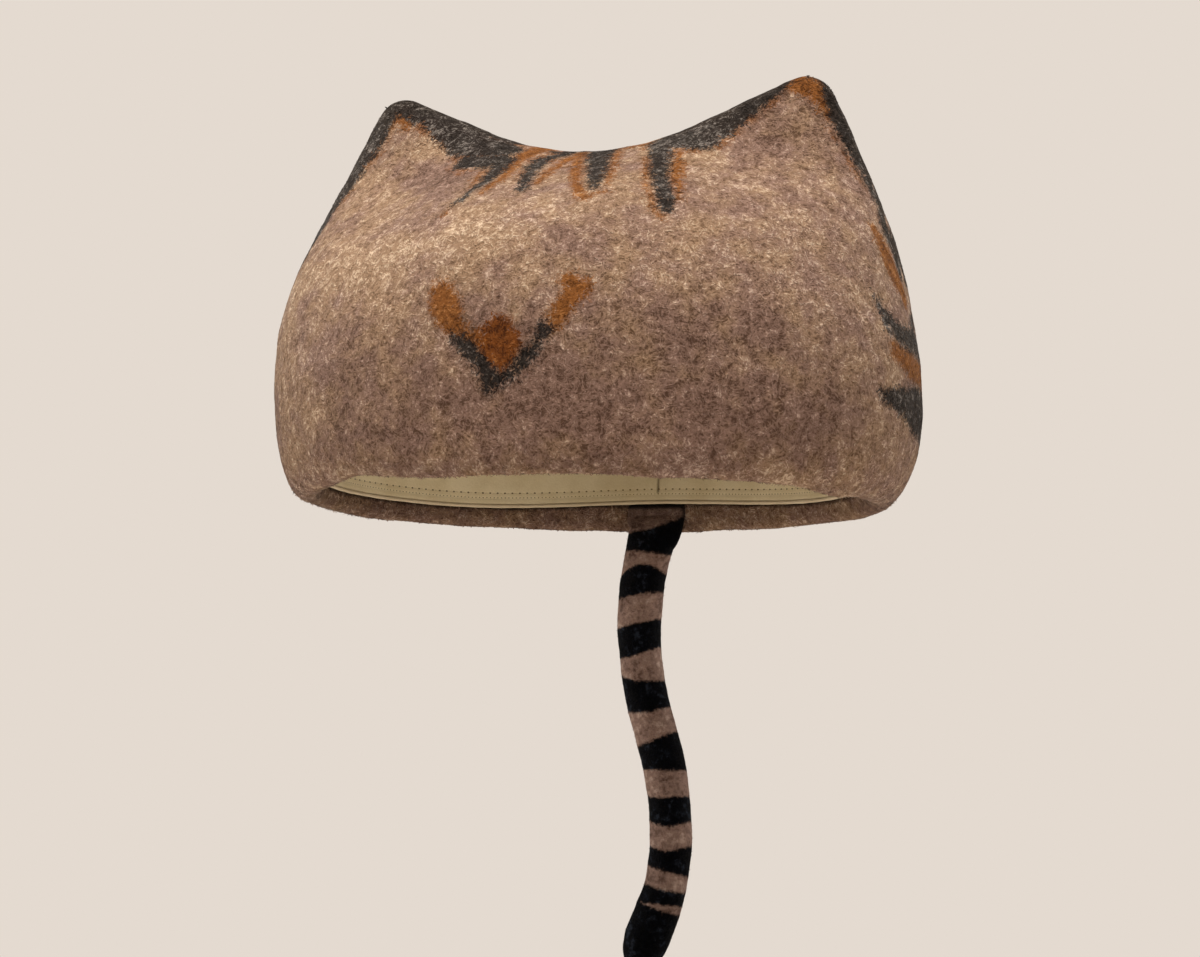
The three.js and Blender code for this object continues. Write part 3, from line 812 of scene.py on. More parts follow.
def wool_colour(tree, place, tone, stray=0.0):
    """Heathered beige and mauve-brown wool with the coat marks laid over it, and painted highlight and
    shade.
    Stray is how far in millimetres a fibre carries its colour over a mark's edge."""
    broad_patch = grain(tree, place, 30.0, 1.0)
    patch = grain(tree, place, 11.0, 3.0, 0.6)
    drift = weighed(tree, -12.0, (grain(tree, place, 9.0, 3.0, 0.6), 24.0))
    painted_highlight_here, painted_shade_here = (
        ease(tree, calc(tree, "ADD", stored(tree, name), drift), *PAINTED_LIGHT_EDGE)
        for name in ("light_mark", "deep_mark")
    )
    patches = ((broad_patch, 0.4), (patch, 0.6), (painted_highlight_here, -0.07), (painted_shade_here, 0.09))
    blend = ease(tree, weighed(tree, 0.0, *patches), 0.36, 0.64)
    # Painted highlight from the light strokes and along the front rim, painted shade from the deep
    # strokes
    shifts = ((painted_highlight_here, 0.12), (painted_shade_here, -0.14), (stored(tree, "painted_rim_highlight"), 0.3))
    tone = weighed(tree, tone, *shifts)
    beige, mauve, tan, rust, charcoal = (
        three_tones(tree, tone, codes) for codes in (BEIGE, MAUVE, TAN, RUST, CHARCOAL)
    )
    base = blend_colours(tree, blend, beige, mauve)
    ragged = calc(tree, "SUBTRACT", grain(tree, place, 3.6, 2.0, 0.6, 0.5), 0.5)
    fine = calc(tree, "SUBTRACT", grain(tree, place, 1.0, 2.0, 0.6, 1.2), 0.5)
    fray = weighed(tree, stray, (fine, FINE_FRAY), (ragged, FRAY))
    fringe_here = ease(tree, grain(tree, place, 11.0, 1.0), 0.38, 0.56, 0.05, 0.85)
    dark_away, tan_away, rust_away = (
        calc(tree, "ADD", stored(tree, name), fray)
        for name in ("dark_mark", "orange_mark", "brown_mark")
    )
    parts = add(tree, "ShaderNodeSeparateXYZ", {0: place}).outputs
    near_crest = calc(tree, "MULTIPLY", ease(tree, parts[2], *FRINGE_HEIGHT), fringe_here)
    near_crest = calc(tree, "MULTIPLY", near_crest, ease(tree, parts[1], *FRINGE_DEPTH))
    fringe = calc(tree, "MULTIPLY", ease(tree, dark_away, 0.8, 3.0, 0.9, 0.0), near_crest)
    tan_here = calc(tree, "MAXIMUM", ease(tree, tan_away, *TAN_EDGE), fringe)
    coloured = blend_colours(tree, tan_here, base, tan)
    coloured = blend_colours(tree, ease(tree, rust_away, *TAN_EDGE), coloured, rust)
    coloured = blend_colours(tree, ease(tree, dark_away, *DARK_EDGE), coloured, charcoal)
    # Painted shade inside the rolled lip and under the piping
    under = calc(tree, "MULTIPLY", stored(tree, "painted_lip_shade"), 0.72, clamp=True)
    return blend_colours(tree, under, coloured, linear("#170D08"))


def felt_weave(tree, place):
    """Matted strands, the pits between them and soft clumps, each from 0 to 1."""
    strand = fibre_lines(tree, place, 4.4, 2.4, 0.13)
    cross_strand = fibre_lines(tree, place, 3.2, 2.0, 0.12)
    pits = fibre_lines(tree, place, 3.8, 2.2, 0.2)
    speck = ease(tree, grain(tree, place, 2.7, 1.0, 0.4, 0.2), 0.32, 0.68)
    cloud = ease(tree, grain(tree, place, 5.0, 3.0, 0.6, 0.3), 0.32, 0.68)
    return strand, cross_strand, pits, speck, cloud


def felt_tone(tree, strand, cross_strand, pits, speck, cloud):
    parts = ((speck, 0.2), (strand, 0.29), (cross_strand, 0.21), (pits, -0.16), (cloud, 0.26))
    return weighed(tree, 0.12, *parts, clamp=True)


def make_felt():
    """Fulled wool felt, knitted and then shrunk. The eye sees a matt heather of light and dark
    curled fibres about a millimetre across, a soft halo, and coloured wool with frayed edges."""
    material, tree, shader = new_material("fulled_wool_felt")
    place = object_place(tree)
    strand, cross_strand, pits, speck, cloud = felt_weave(tree, place)
    tone = felt_tone(tree, strand, cross_strand, pits, speck, cloud)
    parts = ((speck, 0.5), (strand, 0.9), (cross_strand, 0.6), (pits, -1.0), (cloud, 1.1))
    look = {
        "Base Color": wool_colour(tree, place, tone),
        "Normal": relief(tree, weighed(tree, 0.0, *parts), 1.0, 0.22),
        "Roughness": 0.97,
        "Specular IOR Level": 0.06,
        "Sheen Weight": 0.06,
        "Sheen Roughness": 0.55,
        "Sheen Tint": linear("#E8D5BE"),
    }
    feed(tree, shader, look)
    return material


def make_fuzz():
    """Loose wool fibres on the felt, in the colour of the wool that they stand on. They're so
    thin and matted that the eye sees them lit like the felt itself."""
    material, tree, shader = new_material("loose_wool_fibres")
    place = object_place(tree)
    own = weighed(tree, 0.055, (stored(tree, "fibre_tone"), 0.09))
    ground = felt_tone(tree, *felt_weave(tree, place))
    tone = weighed(tree, own, (ground, 0.8), clamp=True)
    stray = weighed(tree, -1.8, (stored(tree, "fibre_stray"), 3.6))
    look = {
        "Base Color": wool_colour(tree, place, tone, stray),
        "Normal": ground_normal(tree),
        "Roughness": 0.9,
        "Specular IOR Level": 0.05,
        "Sheen Weight": 0.08,
    }
    feed(tree, shader, look)
    return material


def tail_colour(tree, place, tone):
    ragged = calc(tree, "SUBTRACT", grain(tree, place, 1.8, 3.0, 0.65, 0.5), 0.5)
    away = weighed(tree, stored(tree, "stripe"), (ragged, 2.6))
    brown = three_tones(tree, tone, TAIL_BROWN)
    black = three_tones(tree, tone, TAIL_BLACK)
    striped = blend_colours(tree, ease(tree, away, -0.7, 0.7, 1.0, 0.0), brown, black)
    # Painted shade on the tail's root, where it goes under the band
    return blend_colours(tree, stored(tree, "root_shade"), striped, linear("#0B0707"))


def tail_mottle(tree, place):
    """Uneven heather of the tail's yarn in clumps of a few millimetres, from 0 to 1."""
    clump = ease(tree, grain(tree, place, 2.2, 2.0, 0.6, 0.2), 0.3, 0.7)
    broad = ease(tree, grain(tree, place, 8.0, 2.0), 0.3, 0.7)
    return weighed(tree, 0.0, (broad, 0.45), (clump, 0.55))


def make_tail_felt():
    """Fulled wool rolled into a tail: denser and darker than the body, matt, with black bands."""
    material, tree, shader = new_material("fulled_wool_roll")
    place = object_place(tree)
    curl = fibre_lines(tree, place, 1.6, 1.8, 0.075)
    speck = grain(tree, place, 0.9, 2.0, 0.6, 0.4)
    tone = weighed(tree, 0.0, (speck, 0.2), (tail_mottle(tree, place), 0.7))
    look = {
        "Base Color": tail_colour(tree, place, tone),
        "Normal": relief(tree, weighed(tree, speck, (curl, 0.5)), 0.8, 0.5),
        "Roughness": 0.97,
        "Specular IOR Level": 0.04,
        "Sheen Weight": 0.03,
    }
    feed(tree, shader, look)
    return material


def make_tail_fuzz():
    """Loose fibres on the tail."""
    material, tree, shader = new_material("loose_tail_fibres")
    place = object_place(tree)
    parts = ((stored(tree, "fibre_tone"), 0.5), (tail_mottle(tree, place), 0.6))
    look = {
        "Base Color": tail_colour(tree, place, weighed(tree, -0.1, *parts)),
        "Normal": ground_normal(tree),
        "Roughness": 0.9,
        "Specular IOR Level": 0.04,
    }
    feed(tree, shader, look)
    return material


PEBBLE_SIZE = 0.9


def make_leather(name, code, light_code, gloss):
    """Thin soft sheepskin, dyed pale: fine pebbled grain, a satin surface, a darker seam and painted
    shade.
    """
    material, tree, shader = new_material(name)
    place = object_place(tree)
    pebbles = {"Vector": place, "Scale": 1000 / PEBBLE_SIZE}
    pebble = add(tree, "ShaderNodeTexVoronoi", pebbles, feature="F1").outputs["Distance"]
    cloud = grain(tree, place, 14.0, 3.0, 0.55, 0.2)
    fine = grain(tree, place, 0.6, 2.0, 0.6, 0.0)
    share = weighed(tree, 0.0, (fine, 0.3), (cloud, 0.7))
    colour = blend_colours(tree, ease(tree, share, 0.3, 0.7), linear(code), linear(light_code))
    # Painted shade at the middle of the back
    back_shade_share = calc(tree, "MULTIPLY", stored(tree, "painted_back_shade"), 0.38)
    colour = blend_colours(tree, back_shade_share, colour, linear("#8A7B58"))
    # A darker seam at the back, and painted shade in the creases along the band's foot and groove
    seam_and_crease_darkening = calc(tree, "MULTIPLY", stored(tree, "dark_seam_and_crease_shade"), 0.75)
    colour = blend_colours(tree, seam_and_crease_darkening, colour, linear("#4F422C"))
    height = weighed(tree, 0.0, (fine, 0.4), (pebble, 0.6))
    look = {
        "Base Color": colour,
        "Normal": relief(tree, height, 0.35, 0.2),
        "Roughness": ease(tree, cloud, 0.3, 0.7, gloss, gloss + 0.12),
        "Specular IOR Level": 0.4,
    }
    feed(tree, shader, look)
    return material


def make_plain(name, code, roughness, mottle):
    """A small sewn detail in one tone with a slight mottle."""
    material, tree, shader = new_material(name)
    patch = grain(tree, object_place(tree), 0.8, 2.0, 0.6, 0.0)
    dark = tuple(c * (1 - mottle) for c in linear(code)[:3]) + (1.0,)
    colour = blend_colours(tree, ease(tree, patch, 0.3, 0.7), dark, linear(code))
    feed(tree, shader, {"Base Color": colour, "Roughness": roughness})
    return material


# Fibres: a few curled strips that Geometry Nodes scatter over a felt surface
STRAND_SHAPES = 10
STRAND_STEPS = 3
STRAND_WIDTHS = (0.7, 1.0, 0.8)


def fibre_shapes(name, width, seed):
    """A collection of curled strands a millimetre long, each of three steps to a pointed tip."""
    collection = bpy.data.collections.new(name)
    random = np.random.default_rng(seed)
    for number in range(STRAND_SHAPES):
        curl = random.uniform(-3.0, 3.0)
        lift = random.uniform(0.006, 0.022)
        points = []
        heading = 0.0
        x = 0.0
        y = 0.0
        for step in range(STRAND_STEPS):
            half = width / 2 * STRAND_WIDTHS[step]
            z = lift * math.sin(step * 1.1)
            points.append((x + math.sin(heading) * half, y - math.cos(heading) * half, z))
            points.append((x - math.sin(heading) * half, y + math.cos(heading) * half, z + half * 0.1))
            heading += curl / STRAND_STEPS
            x += math.cos(heading) / STRAND_STEPS
            y += math.sin(heading) / STRAND_STEPS
        points.append((x, y, lift * random.uniform(0.0, 1.2)))
        corners = [(a * MM, b * MM, c * MM) for a, b, c in points]
        mesh = bpy.data.meshes.new(f"{name}_{number}")
        mesh.from_pydata(corners, [], [(0, 2, 3, 1), (2, 4, 5, 3), (4, 6, 5)])
        collection.objects.link(bpy.data.objects.new(f"{name}_{number}", mesh))
    return collection


def new_group(name, inputs, output):
    """An empty Geometry Nodes tree with inputs, each a name and a kind, and one output."""
    tree = bpy.data.node_groups.new(name, "GeometryNodeTree")
    for label, kind in inputs:
        tree.interface.new_socket(label, in_out="INPUT", socket_type=f"NodeSocket{kind}")
    tree.interface.new_socket(output, in_out="OUTPUT", socket_type="NodeSocketGeometry")
    return tree, tree.nodes.new("NodeGroupInput").outputs


def finish_group(tree, instances, material):
    real = add(tree, "GeometryNodeRealizeInstances", {"Geometry": instances}).outputs[0]
    look = {"Geometry": real, "Material": material}
    painted = add(tree, "GeometryNodeSetMaterial", look).outputs[0]
    add(tree, "NodeGroupOutput", {0: painted})
    return tree


def keep_value(tree, geometry, name, value, kind="FLOAT", domain="INSTANCE"):
    inputs = {"Geometry": geometry, "Name": name, "Value": value}
    settings = {"data_type": kind, "domain": domain}
    return add(tree, "GeometryNodeStoreNamedAttribute", inputs, **settings).outputs[0]


def kept_value(tree, name, kind="FLOAT"):
    return add(tree, "GeometryNodeInputNamedAttribute", {"Name": name}, data_type=kind).outputs[0]


def random_number(tree, low, high, seed):
    inputs = {2: low, 3: high, "Seed": seed}
    return add(tree, "FunctionNodeRandomValue", inputs, data_type="FLOAT").outputs[1]


FIBRE_INPUTS = (
    ("Surface", "Geometry"),
    ("Density", "Float"),
    ("Shortest", "Float"),
    ("Longest", "Float"),
    ("Tilt", "Float"),
    ("Seed", "Int"),
    ("Strips", "Collection"),
    ("Material", "Material"),
)
FULL_TURN = 6.2832


def fibre_tree(name):
    """Scatters curled strips over a surface, lying down in every direction."""
    tree, given = new_group(name, FIBRE_INPUTS, "Fibres")
    density = calc(tree, "MULTIPLY", kept_value(tree, "fuzz_share"), given["Density"])
    spread = {"Mesh": given["Surface"], "Density": density, "Seed": given["Seed"]}
    scatter = add(tree, "GeometryNodeDistributePointsOnFaces", spread).outputs
    tilt = given["Tilt"]
    back = calc(tree, "MULTIPLY", tilt, -1.0)
    low = add(tree, "ShaderNodeCombineXYZ", {0: back, 1: back, 2: 0.0}).outputs[0]
    high = add(tree, "ShaderNodeCombineXYZ", {0: tilt, 1: tilt, 2: FULL_TURN}).outputs[0]
    limits = {0: low, 1: high, "Seed": 3}
    turn = add(tree, "FunctionNodeRandomValue", limits, data_type="FLOAT_VECTOR").outputs[0]
    turned = add(tree, "FunctionNodeEulerToRotation", {0: turn}).outputs[0]
    turns = {0: scatter["Rotation"], 1: turned}
    facing = add(tree, "FunctionNodeRotateRotation", turns, rotation_space="LOCAL").outputs[0]
    ways = keep_value(
        tree, scatter["Points"], "scatter_normal", scatter["Normal"], "FLOAT_VECTOR", "POINT"
    )
    normal = kept_value(tree, "scatter_normal", "FLOAT_VECTOR")
    size = random_number(tree, given["Shortest"], given["Longest"], 5)
    choice = {"Collection": given["Strips"], "Separate Children": True, "Reset Children": True}
    laid = {
        "Points": ways,
        "Instance": add(tree, "GeometryNodeCollectionInfo", choice).outputs[0],
        "Pick Instance": True,
        "Rotation": facing,
        "Scale": size,
    }
    placed = add(tree, "GeometryNodeInstanceOnPoints", laid).outputs[0]
    placed = keep_value(tree, placed, "fibre_tone", random_number(tree, 0.0, 1.0, 9))
    placed = keep_value(tree, placed, "fibre_stray", random_number(tree, 0.0, 1.0, 14))
    placed = keep_value(tree, placed, "ground_normal", normal, "FLOAT_VECTOR")
    return finish_group(tree, placed, given["Material"])


def run_tree(piece, tree, values):
    """The piece's mesh after a Geometry Nodes tree with the given inputs, as a plain mesh."""
    modifier = piece.modifiers.new(tree.name, "NODES")
    modifier.node_group = tree
    for item in tree.interface.items_tree:
        if item.in_out == "INPUT" and item.name in values:
            modifier[item.identifier] = values[item.name]
    graph = bpy.context.evaluated_depsgraph_get()
    mesh = bpy.data.meshes.new_from_object(piece.evaluated_get(graph), depsgraph=graph)
    piece.modifiers.remove(modifier)
    return mesh


def grow(name, surface, tree, values):
    """A piece made by a Geometry Nodes tree on a surface or a line."""
    mesh = run_tree(surface, tree, values)
    mesh.name = name
    return put_in_scene(name, mesh)


def fuzz_values(density, shortest, longest, tilt, seed, shapes, material):
    return {
        "Density": density,
        "Shortest": shortest,
        "Longest": longest,
        "Tilt": tilt,
        "Seed": seed,
        "Strips": shapes,
        "Material": material,
    }


def part_of(piece, name, keep):
    """A copy of the faces of a piece whose corners are all kept, with its stored numbers."""
    source = piece.data
    index = -np.ones(len(source.vertices), int)
    index[keep] = np.arange(keep.sum())
    faces = []
    for polygon in source.polygons:
        corners = index[list(polygon.vertices)]
        if (corners >= 0).all():
            faces.append(corners.tolist())
    copy = make_mesh(name, corner_places(piece)[keep], faces)
    for attribute in source.attributes:
        if attribute.data_type == "FLOAT" and attribute.domain == "POINT":
            values = np.zeros(len(source.vertices), np.float32)
            attribute.data.foreach_get("value", values)
            keep_number(copy, attribute.name, values[keep])
    return copy


def finish_piece(piece, slot, *nodes):
    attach(piece, "root")
    if nodes:
        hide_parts(*nodes)


# How the felt body is dressed: heights in millimetres between which an effect comes in, shares
LIP_CALM = (-7.5, -2.0)
RIM_FUZZ_FADE = (-8.0, -2.0)
RIM_FUZZ_EXTRA = 0.6
INNER_LIP_FUZZ = 0.5
CREST_THINNING = 0.85
LIP_SHADE = 0.31
LIP_SHADE_INSIDE = 0.26
LIP_SHADE_LOST_AT_RIGHT = 0.14
PIPING_SHADE = 1.3
PALE_RIM = 0.5


def fibre_share(outside, inner_lip, depth, height, under_piping):
    """How thickly fibres grow: more at the rim, fewer on the crest and none under the piping."""
    share = np.where(outside, 1.0, 0.0)
    share *= np.where(inner_lip, INNER_LIP_FUZZ * smooth_step(under_piping, 0.8, 2.0), 1.0)
    share *= 1 + RIM_FUZZ_EXTRA * (1 - smooth_step(height, *RIM_FUZZ_FADE))
    on_crest = (1 - smooth_step(np.abs(depth), 3.0, 10.0)) * smooth_step(height, 55, 75)
    return share * (1 - CREST_THINNING * on_crest)


def lip_shade(inner_lip, across, height, under_piping):
    """Painted shade inside the rolled lip, darkest under the piping."""
    shade = LIP_SHADE + LIP_SHADE_INSIDE * smooth_step(height, -8.4, -5.0)
    shade -= LIP_SHADE_LOST_AT_RIGHT * smooth_step(across, 25, 85)
    shade += (PIPING_SHADE - shade) * (1 - smooth_step(under_piping, 0.2, 1.2))
    return np.where(inner_lip & (height < RIM_ZONE_TOP), shade, 0.0)


def dress_crown(crown, outside, places):
    """Stores what the felt and its fibres need at each corner, then lumps and waves the felt."""
    normals = corner_normals(crown)
    across, depth, height = places.T
    inner_lip = (normals[:, 0] * across + normals[:, 1] * depth) < 0
    under_piping = PIPING_FOOT + back_rise(across, depth) - height
    for colour, away in coat_marks(places, surface_tree(crown)).items():
        keep_number(crown, f"{colour}_mark", away)
    share = fibre_share(outside, inner_lip, depth, height, under_piping)
    keep_number(crown, "fuzz_share", share)
    keep_number(crown, "painted_lip_shade", lip_shade(inner_lip, across, height, under_piping))
    # Painted highlight along the lower edge of the front rim
    pale_rim = (1 - smooth_step(height, -8.4, -3.0)) * smooth_step(-depth, -30, 0)
    keep_number(crown, "painted_rim_highlight", PALE_RIM * pale_rim)
    lumps = np.zeros(len(places))
    lumps[outside] = bumps(places[outside], FELT_LUMPS)
    near_band = smooth_step(height, *LIP_CALM) * (np.abs(height) < RIM_ZONE_TOP)
    lumps *= np.where(inner_lip, 1 - near_band, 1)
    move_corners(crown, wave_rim(places + normals * lumps[:, None], inner_lip))


def grow_felt_fuzz(name, kept, values, pale=False):
    """Loose fibres on the part of the felt body whose corners are kept."""
    patch = part_of(crown, f"{name}_ground", kept)
    # The rim's fibres carry the painted rim highlight in full
    if pale:
        keep_number(patch, "painted_rim_highlight", np.ones(len(patch.data.vertices)))
    fuzz = grow(name, patch, scatter_tree, values)
    bpy.data.objects.remove(patch)
    finish_piece(fuzz, "wool_felt")


# Build the felt body
crown, outside = make_crown()
places = corner_places(crown)
dress_crown(crown, outside, places)
crown.data.materials.append(make_felt())

# Loose fibres over the felt body, in quarters: name, side along y, side along x, seed
QUARTERS = (
    ("front_left", -1, 1, 21),
    ("front_right", -1, -1, 22),
    ("back_left", 1, 1, 23),
    ("back_right", 1, -1, 24),
)
across, depth, height = places.T
loose = make_fuzz()
strips = fibre_shapes("wool_fibre", 0.26, 11)
scatter_tree = fibre_tree("scatter_fibres")
for label, y_side, x_side, seed in QUARTERS:
    quarter = outside & (depth * y_side >= -0.5) & (across * x_side >= -1.7)
    values = fuzz_values(FUZZ_DENSITY, 1.1, 2.6, 0.04, seed, strips, loose)
    grow_felt_fuzz(f"felt_fuzz_{label}", quarter, values)
# Fibres at the front rim, made paler by a painted highlight
rim = outside & (height < -4.0) & (depth < 30)
rim_strips = fibre_shapes("rim_fibre", 0.13, 13)
rim_values = fuzz_values(RIM_FUZZ_DENSITY, 0.9, 2.2, 0.5, 27, rim_strips, loose)
grow_felt_fuzz("felt_fuzz_front_rim", rim, rim_values, pale=True)
finish_piece(crown, "wool_felt", "felt_crown")


# Build the sweatband: its lower edge is turned over the reed and stitched, its ends meet at the back
BAND_COLUMNS = 360
BAND_SEAM_X = 2.5
SEAM_STEPS = (-0.9, -0.45, -0.2, 0.0, 0.2, 0.45, 0.9)

# Section of the band from its foot up the inside, over the top and down behind: outset, height
BAND_SECTION = (
    (0.2, -0.1),
    (0.04, 0.15),
    (0.0, 0.5),
    (0.0, 1.4),
    (0.08, 1.9),
    (0.0, 2.4),
    (-0.02, 3.6),
    (0.05, 4.1),
    (0.08, 4.4),
    (0.05, 4.7),
    (0.0, 5.2),
    (-0.06, 8.0),
    (-0.08, 10.0),
    (-0.1, 12.0),
    (-0.06, 18.0),
    (0.0, 24.0),
    (0.05, 27.2),
    (0.3, 27.9),
    (0.9, 27.9),
    (1.15, 27.2),
    (1.2, 14.0),
    (1.2, 0.3),
    (0.9, -0.1),
)


def hill(value, centre, reach):
    """A soft hill that is 1 at its centre."""
    return np.exp(-(((value - centre) / reach) ** 2))


def keep_back_shade(piece, points, reach):
    """Painted shade, darkest at the middle of the back."""
    keep_number(piece, "painted_back_shade", hill(points[:, 0], -4, reach) * (points[:, 1] > 0))


def make_band():
    columns = ring_angles(BAND_COLUMNS)
    seam = math.pi / 2 - BAND_SEAM_X / HEAD_HALF_WIDTH
    extra = seam + np.array(SEAM_STEPS) / HEAD_HALF_WIDTH
    angle = np.sort(np.concatenate([columns[np.abs(columns - seam) > 0.012], extra]))
    inward = -np.stack([np.cos(angle), np.sin(angle), np.zeros_like(angle)], 1)
    wave = 0.35 * np.sin(angle * 7 + 0.6) + 0.25 * np.sin(angle * 13 + 2.0)
    away = np.abs(angle - seam) * HEAD_HALF_WIDTH
    groove = 0.6 * hill(away, 0, 0.36) - 0.14 * hill(away, 1.0, 0.6)
    rings = []
    creases = []
    for outset, z in BAND_SECTION:
        seen = float(smooth_step(z, 2.4, 3.6) * (1 - smooth_step(z, 8.4, 12.0)))
        ring = even_ring(angle, outset, z, 0.0)
        if outset < 0.6:
            free = smooth_step(z, 3.0, 20.0)
            ring = ring + inward * ((free * np.maximum(wave, -0.1)) - groove * seen)[:, None]
        ring[:, 2] += back_rise(ring[:, 0], ring[:, 1])
        rings.append(ring)
        # Painted shade in the creases at the foot and at 1.9 mm; the seam's line is darker too
        row = 0.3 * hill(z, 1.9, 0.35) + 0.5 * hill(z, -0.1, 0.3)
        creases.append(np.maximum(hill(away, 0, 0.42) * seen, 0.6 * row))
    points = np.concatenate(rings)
    faces = hoop_faces(len(BAND_SECTION), len(angle))
    made = make_mesh("sweatband_leather", points, faces)
    keep_number(made, "dark_seam_and_crease_shade", np.concatenate(creases))
    keep_back_shade(made, points, 52)
    return made


PIPING_COLUMNS = 420
PIPING_SIDES = 12


def make_piping():
    """The reed under the band, wrapped in the band's leather, a little uneven along its run."""
    angle = ring_angles(PIPING_COLUMNS)
    swell = PIPING_RADIUS * (1 + 0.05 * np.sin(angle * 61) + 0.04 * np.sin(angle * 23 + 1))
    rings = []
    for turn in ring_angles(PIPING_SIDES):
        outset = PIPING_OUTSET + swell * math.cos(turn)
        x = (HEAD_HALF_WIDTH + outset) * np.cos(angle)
        y = (HEAD_HALF_DEPTH + outset) * np.sin(angle)
        z = 0.05 - PIPING_RADIUS + swell * math.sin(turn) + back_rise(x, y)
        rings.append(np.stack([x, y, z], 1))
    points = np.concatenate(rings)
    made = make_mesh("piping_leather_roll", points, hoop_faces(PIPING_SIDES, PIPING_COLUMNS))
    keep_back_shade(made, points, 70)
    return made


STITCH_INPUTS = (
    ("Line", "Geometry"),
    ("Pitch", "Float"),
    ("Stitch", "Object"),
    ("Material", "Material"),
)


def stitch_tree():
    """Stitches at even steps along a line of points, each turned along the line."""
    tree, given = new_group("stitch_row", STITCH_INPUTS, "Stitches")
    line = add(tree, "GeometryNodeMeshToCurve", {"Mesh": given["Line"]}).outputs[0]
    steps = {"Curve": line, "Length": given["Pitch"]}
    spaced = add(tree, "GeometryNodeCurveToPoints", steps, mode="LENGTH").outputs
    one = add(tree, "GeometryNodeObjectInfo", {"Object": given["Stitch"]}).outputs
    laid = {
        "Points": spaced["Points"],
        "Instance": one["Geometry"],
        "Rotation": spaced["Rotation"],
    }
    placed = add(tree, "GeometryNodeInstanceOnPoints", laid).outputs[0]
    return finish_group(tree, placed, given["Material"])


BEAD_ROWS = 5
BEAD_SIDES = 8
BEAD_END = 0.02


def bead(name, half_long, half_wide, half_high):
    """A small rounded bead, long along Z, to be placed along a line."""
    angle = ring_angles(BEAD_SIDES)
    rings = []
    for turn in np.linspace(0, math.pi, BEAD_ROWS):
        full = max(math.sin(turn), BEAD_END)
        x = half_wide * full * np.cos(angle)
        y = half_high * full * np.sin(angle)
        rings.append(np.stack([x, y, np.full(BEAD_SIDES, -half_long * math.cos(turn))], 1))
    faces = [face[::-1] for face in rod_faces(BEAD_ROWS, BEAD_SIDES)]
    piece = make_mesh(name, np.concatenate(rings), faces)
    bpy.context.scene.collection.objects.unlink(piece)
    return piece


ROW_STEPS = 720


def stitch_row(name, outset, z, pitch, start, shape, material, tree):
    angle = start + np.arange(ROW_STEPS + 1) * 2 * math.pi / ROW_STEPS
    ring = even_ring(angle, outset, z, 0.0)
    ring[:, 2] += back_rise(ring[:, 0], ring[:, 1])
    mesh = bpy.data.meshes.new(name)
    mesh.from_pydata((ring * MM).tolist(), [(i, i + 1) for i in range(ROW_STEPS)], [])
    line = put_in_scene(f"{name}_line", mesh)
    values = {"Pitch": pitch * MM, "Stitch": shape, "Material": material}
    piece = grow(name, line, tree, values)
    bpy.data.objects.remove(line)
    finish_piece(piece, "band_leather")


band = make_band()
band.data.materials.append(make_leather("pale_sheepskin", "#E0D2AA", "#F2E7C4", 0.46))
finish_piece(band, "band_leather", "sweatband")
piping = make_piping()
piping.data.materials.append(make_leather("pale_sheepskin_roll", "#D0C1A2", "#E2D5B8", 0.42))
finish_piece(piping, "piping_leather", "reed_piping")
row_tree = stitch_tree()
thread = bead("thread_bead", 0.9, 0.1, 0.16)
hole = bead("hole_bead", 0.5, 0.16, 0.42)
small_hole = bead("small_hole_bead", 0.26, 0.12, 0.24)
thread_finish = make_plain("waxed_sewing_thread", "#D6C8A0", 0.6, 0.2)
# Needle holes are dark beads: painted shade for the hollow of each hole
painted_hole_shade = make_plain("needle_hole", "#75664A", 0.9, 0.3)
half_step = 1.5 / HEAD_HALF_WIDTH

# Rows of stitches and holes: name, outset, height, pitch, start, shape, material
ROWS = (
    ("band_stitches", 0.12, 4.4, 3.0, 0.0, thread, thread_finish),
    ("band_needle_holes", 0.14, 4.4, 3.0, half_step, hole, painted_hole_shade),
    ("band_edge_needle_holes", 0.05, 2.5, 1.5, 0.0, small_hole, painted_hole_shade),
)
for row in ROWS:
    stitch_row(*row, row_tree)


# Build the tail
TAIL_SIDES = 56
TAIL_RINGS = 300
STRIPE_LIMIT = 12.0


def tail_line(count):
    """Middle, width and thickness along the tail, smoothed between the rows of its table."""
    rows = np.array(TAIL)
    run = np.concatenate([[0], np.cumsum(np.linalg.norm(np.diff(rows[:, :3], axis=0), axis=1))])
    at = np.linspace(0, 1, count)
    at = run[-1] * (1 - (1 - at) ** 1.12)
    middle = np.stack([through_rows(run, rows[:, k], at) for k in (1, 2, 0)], 1)
    width = through_rows(run, rows[:, 3], at)
    thickness = through_rows(run, rows[:, 4], at)
    return middle, width, thickness


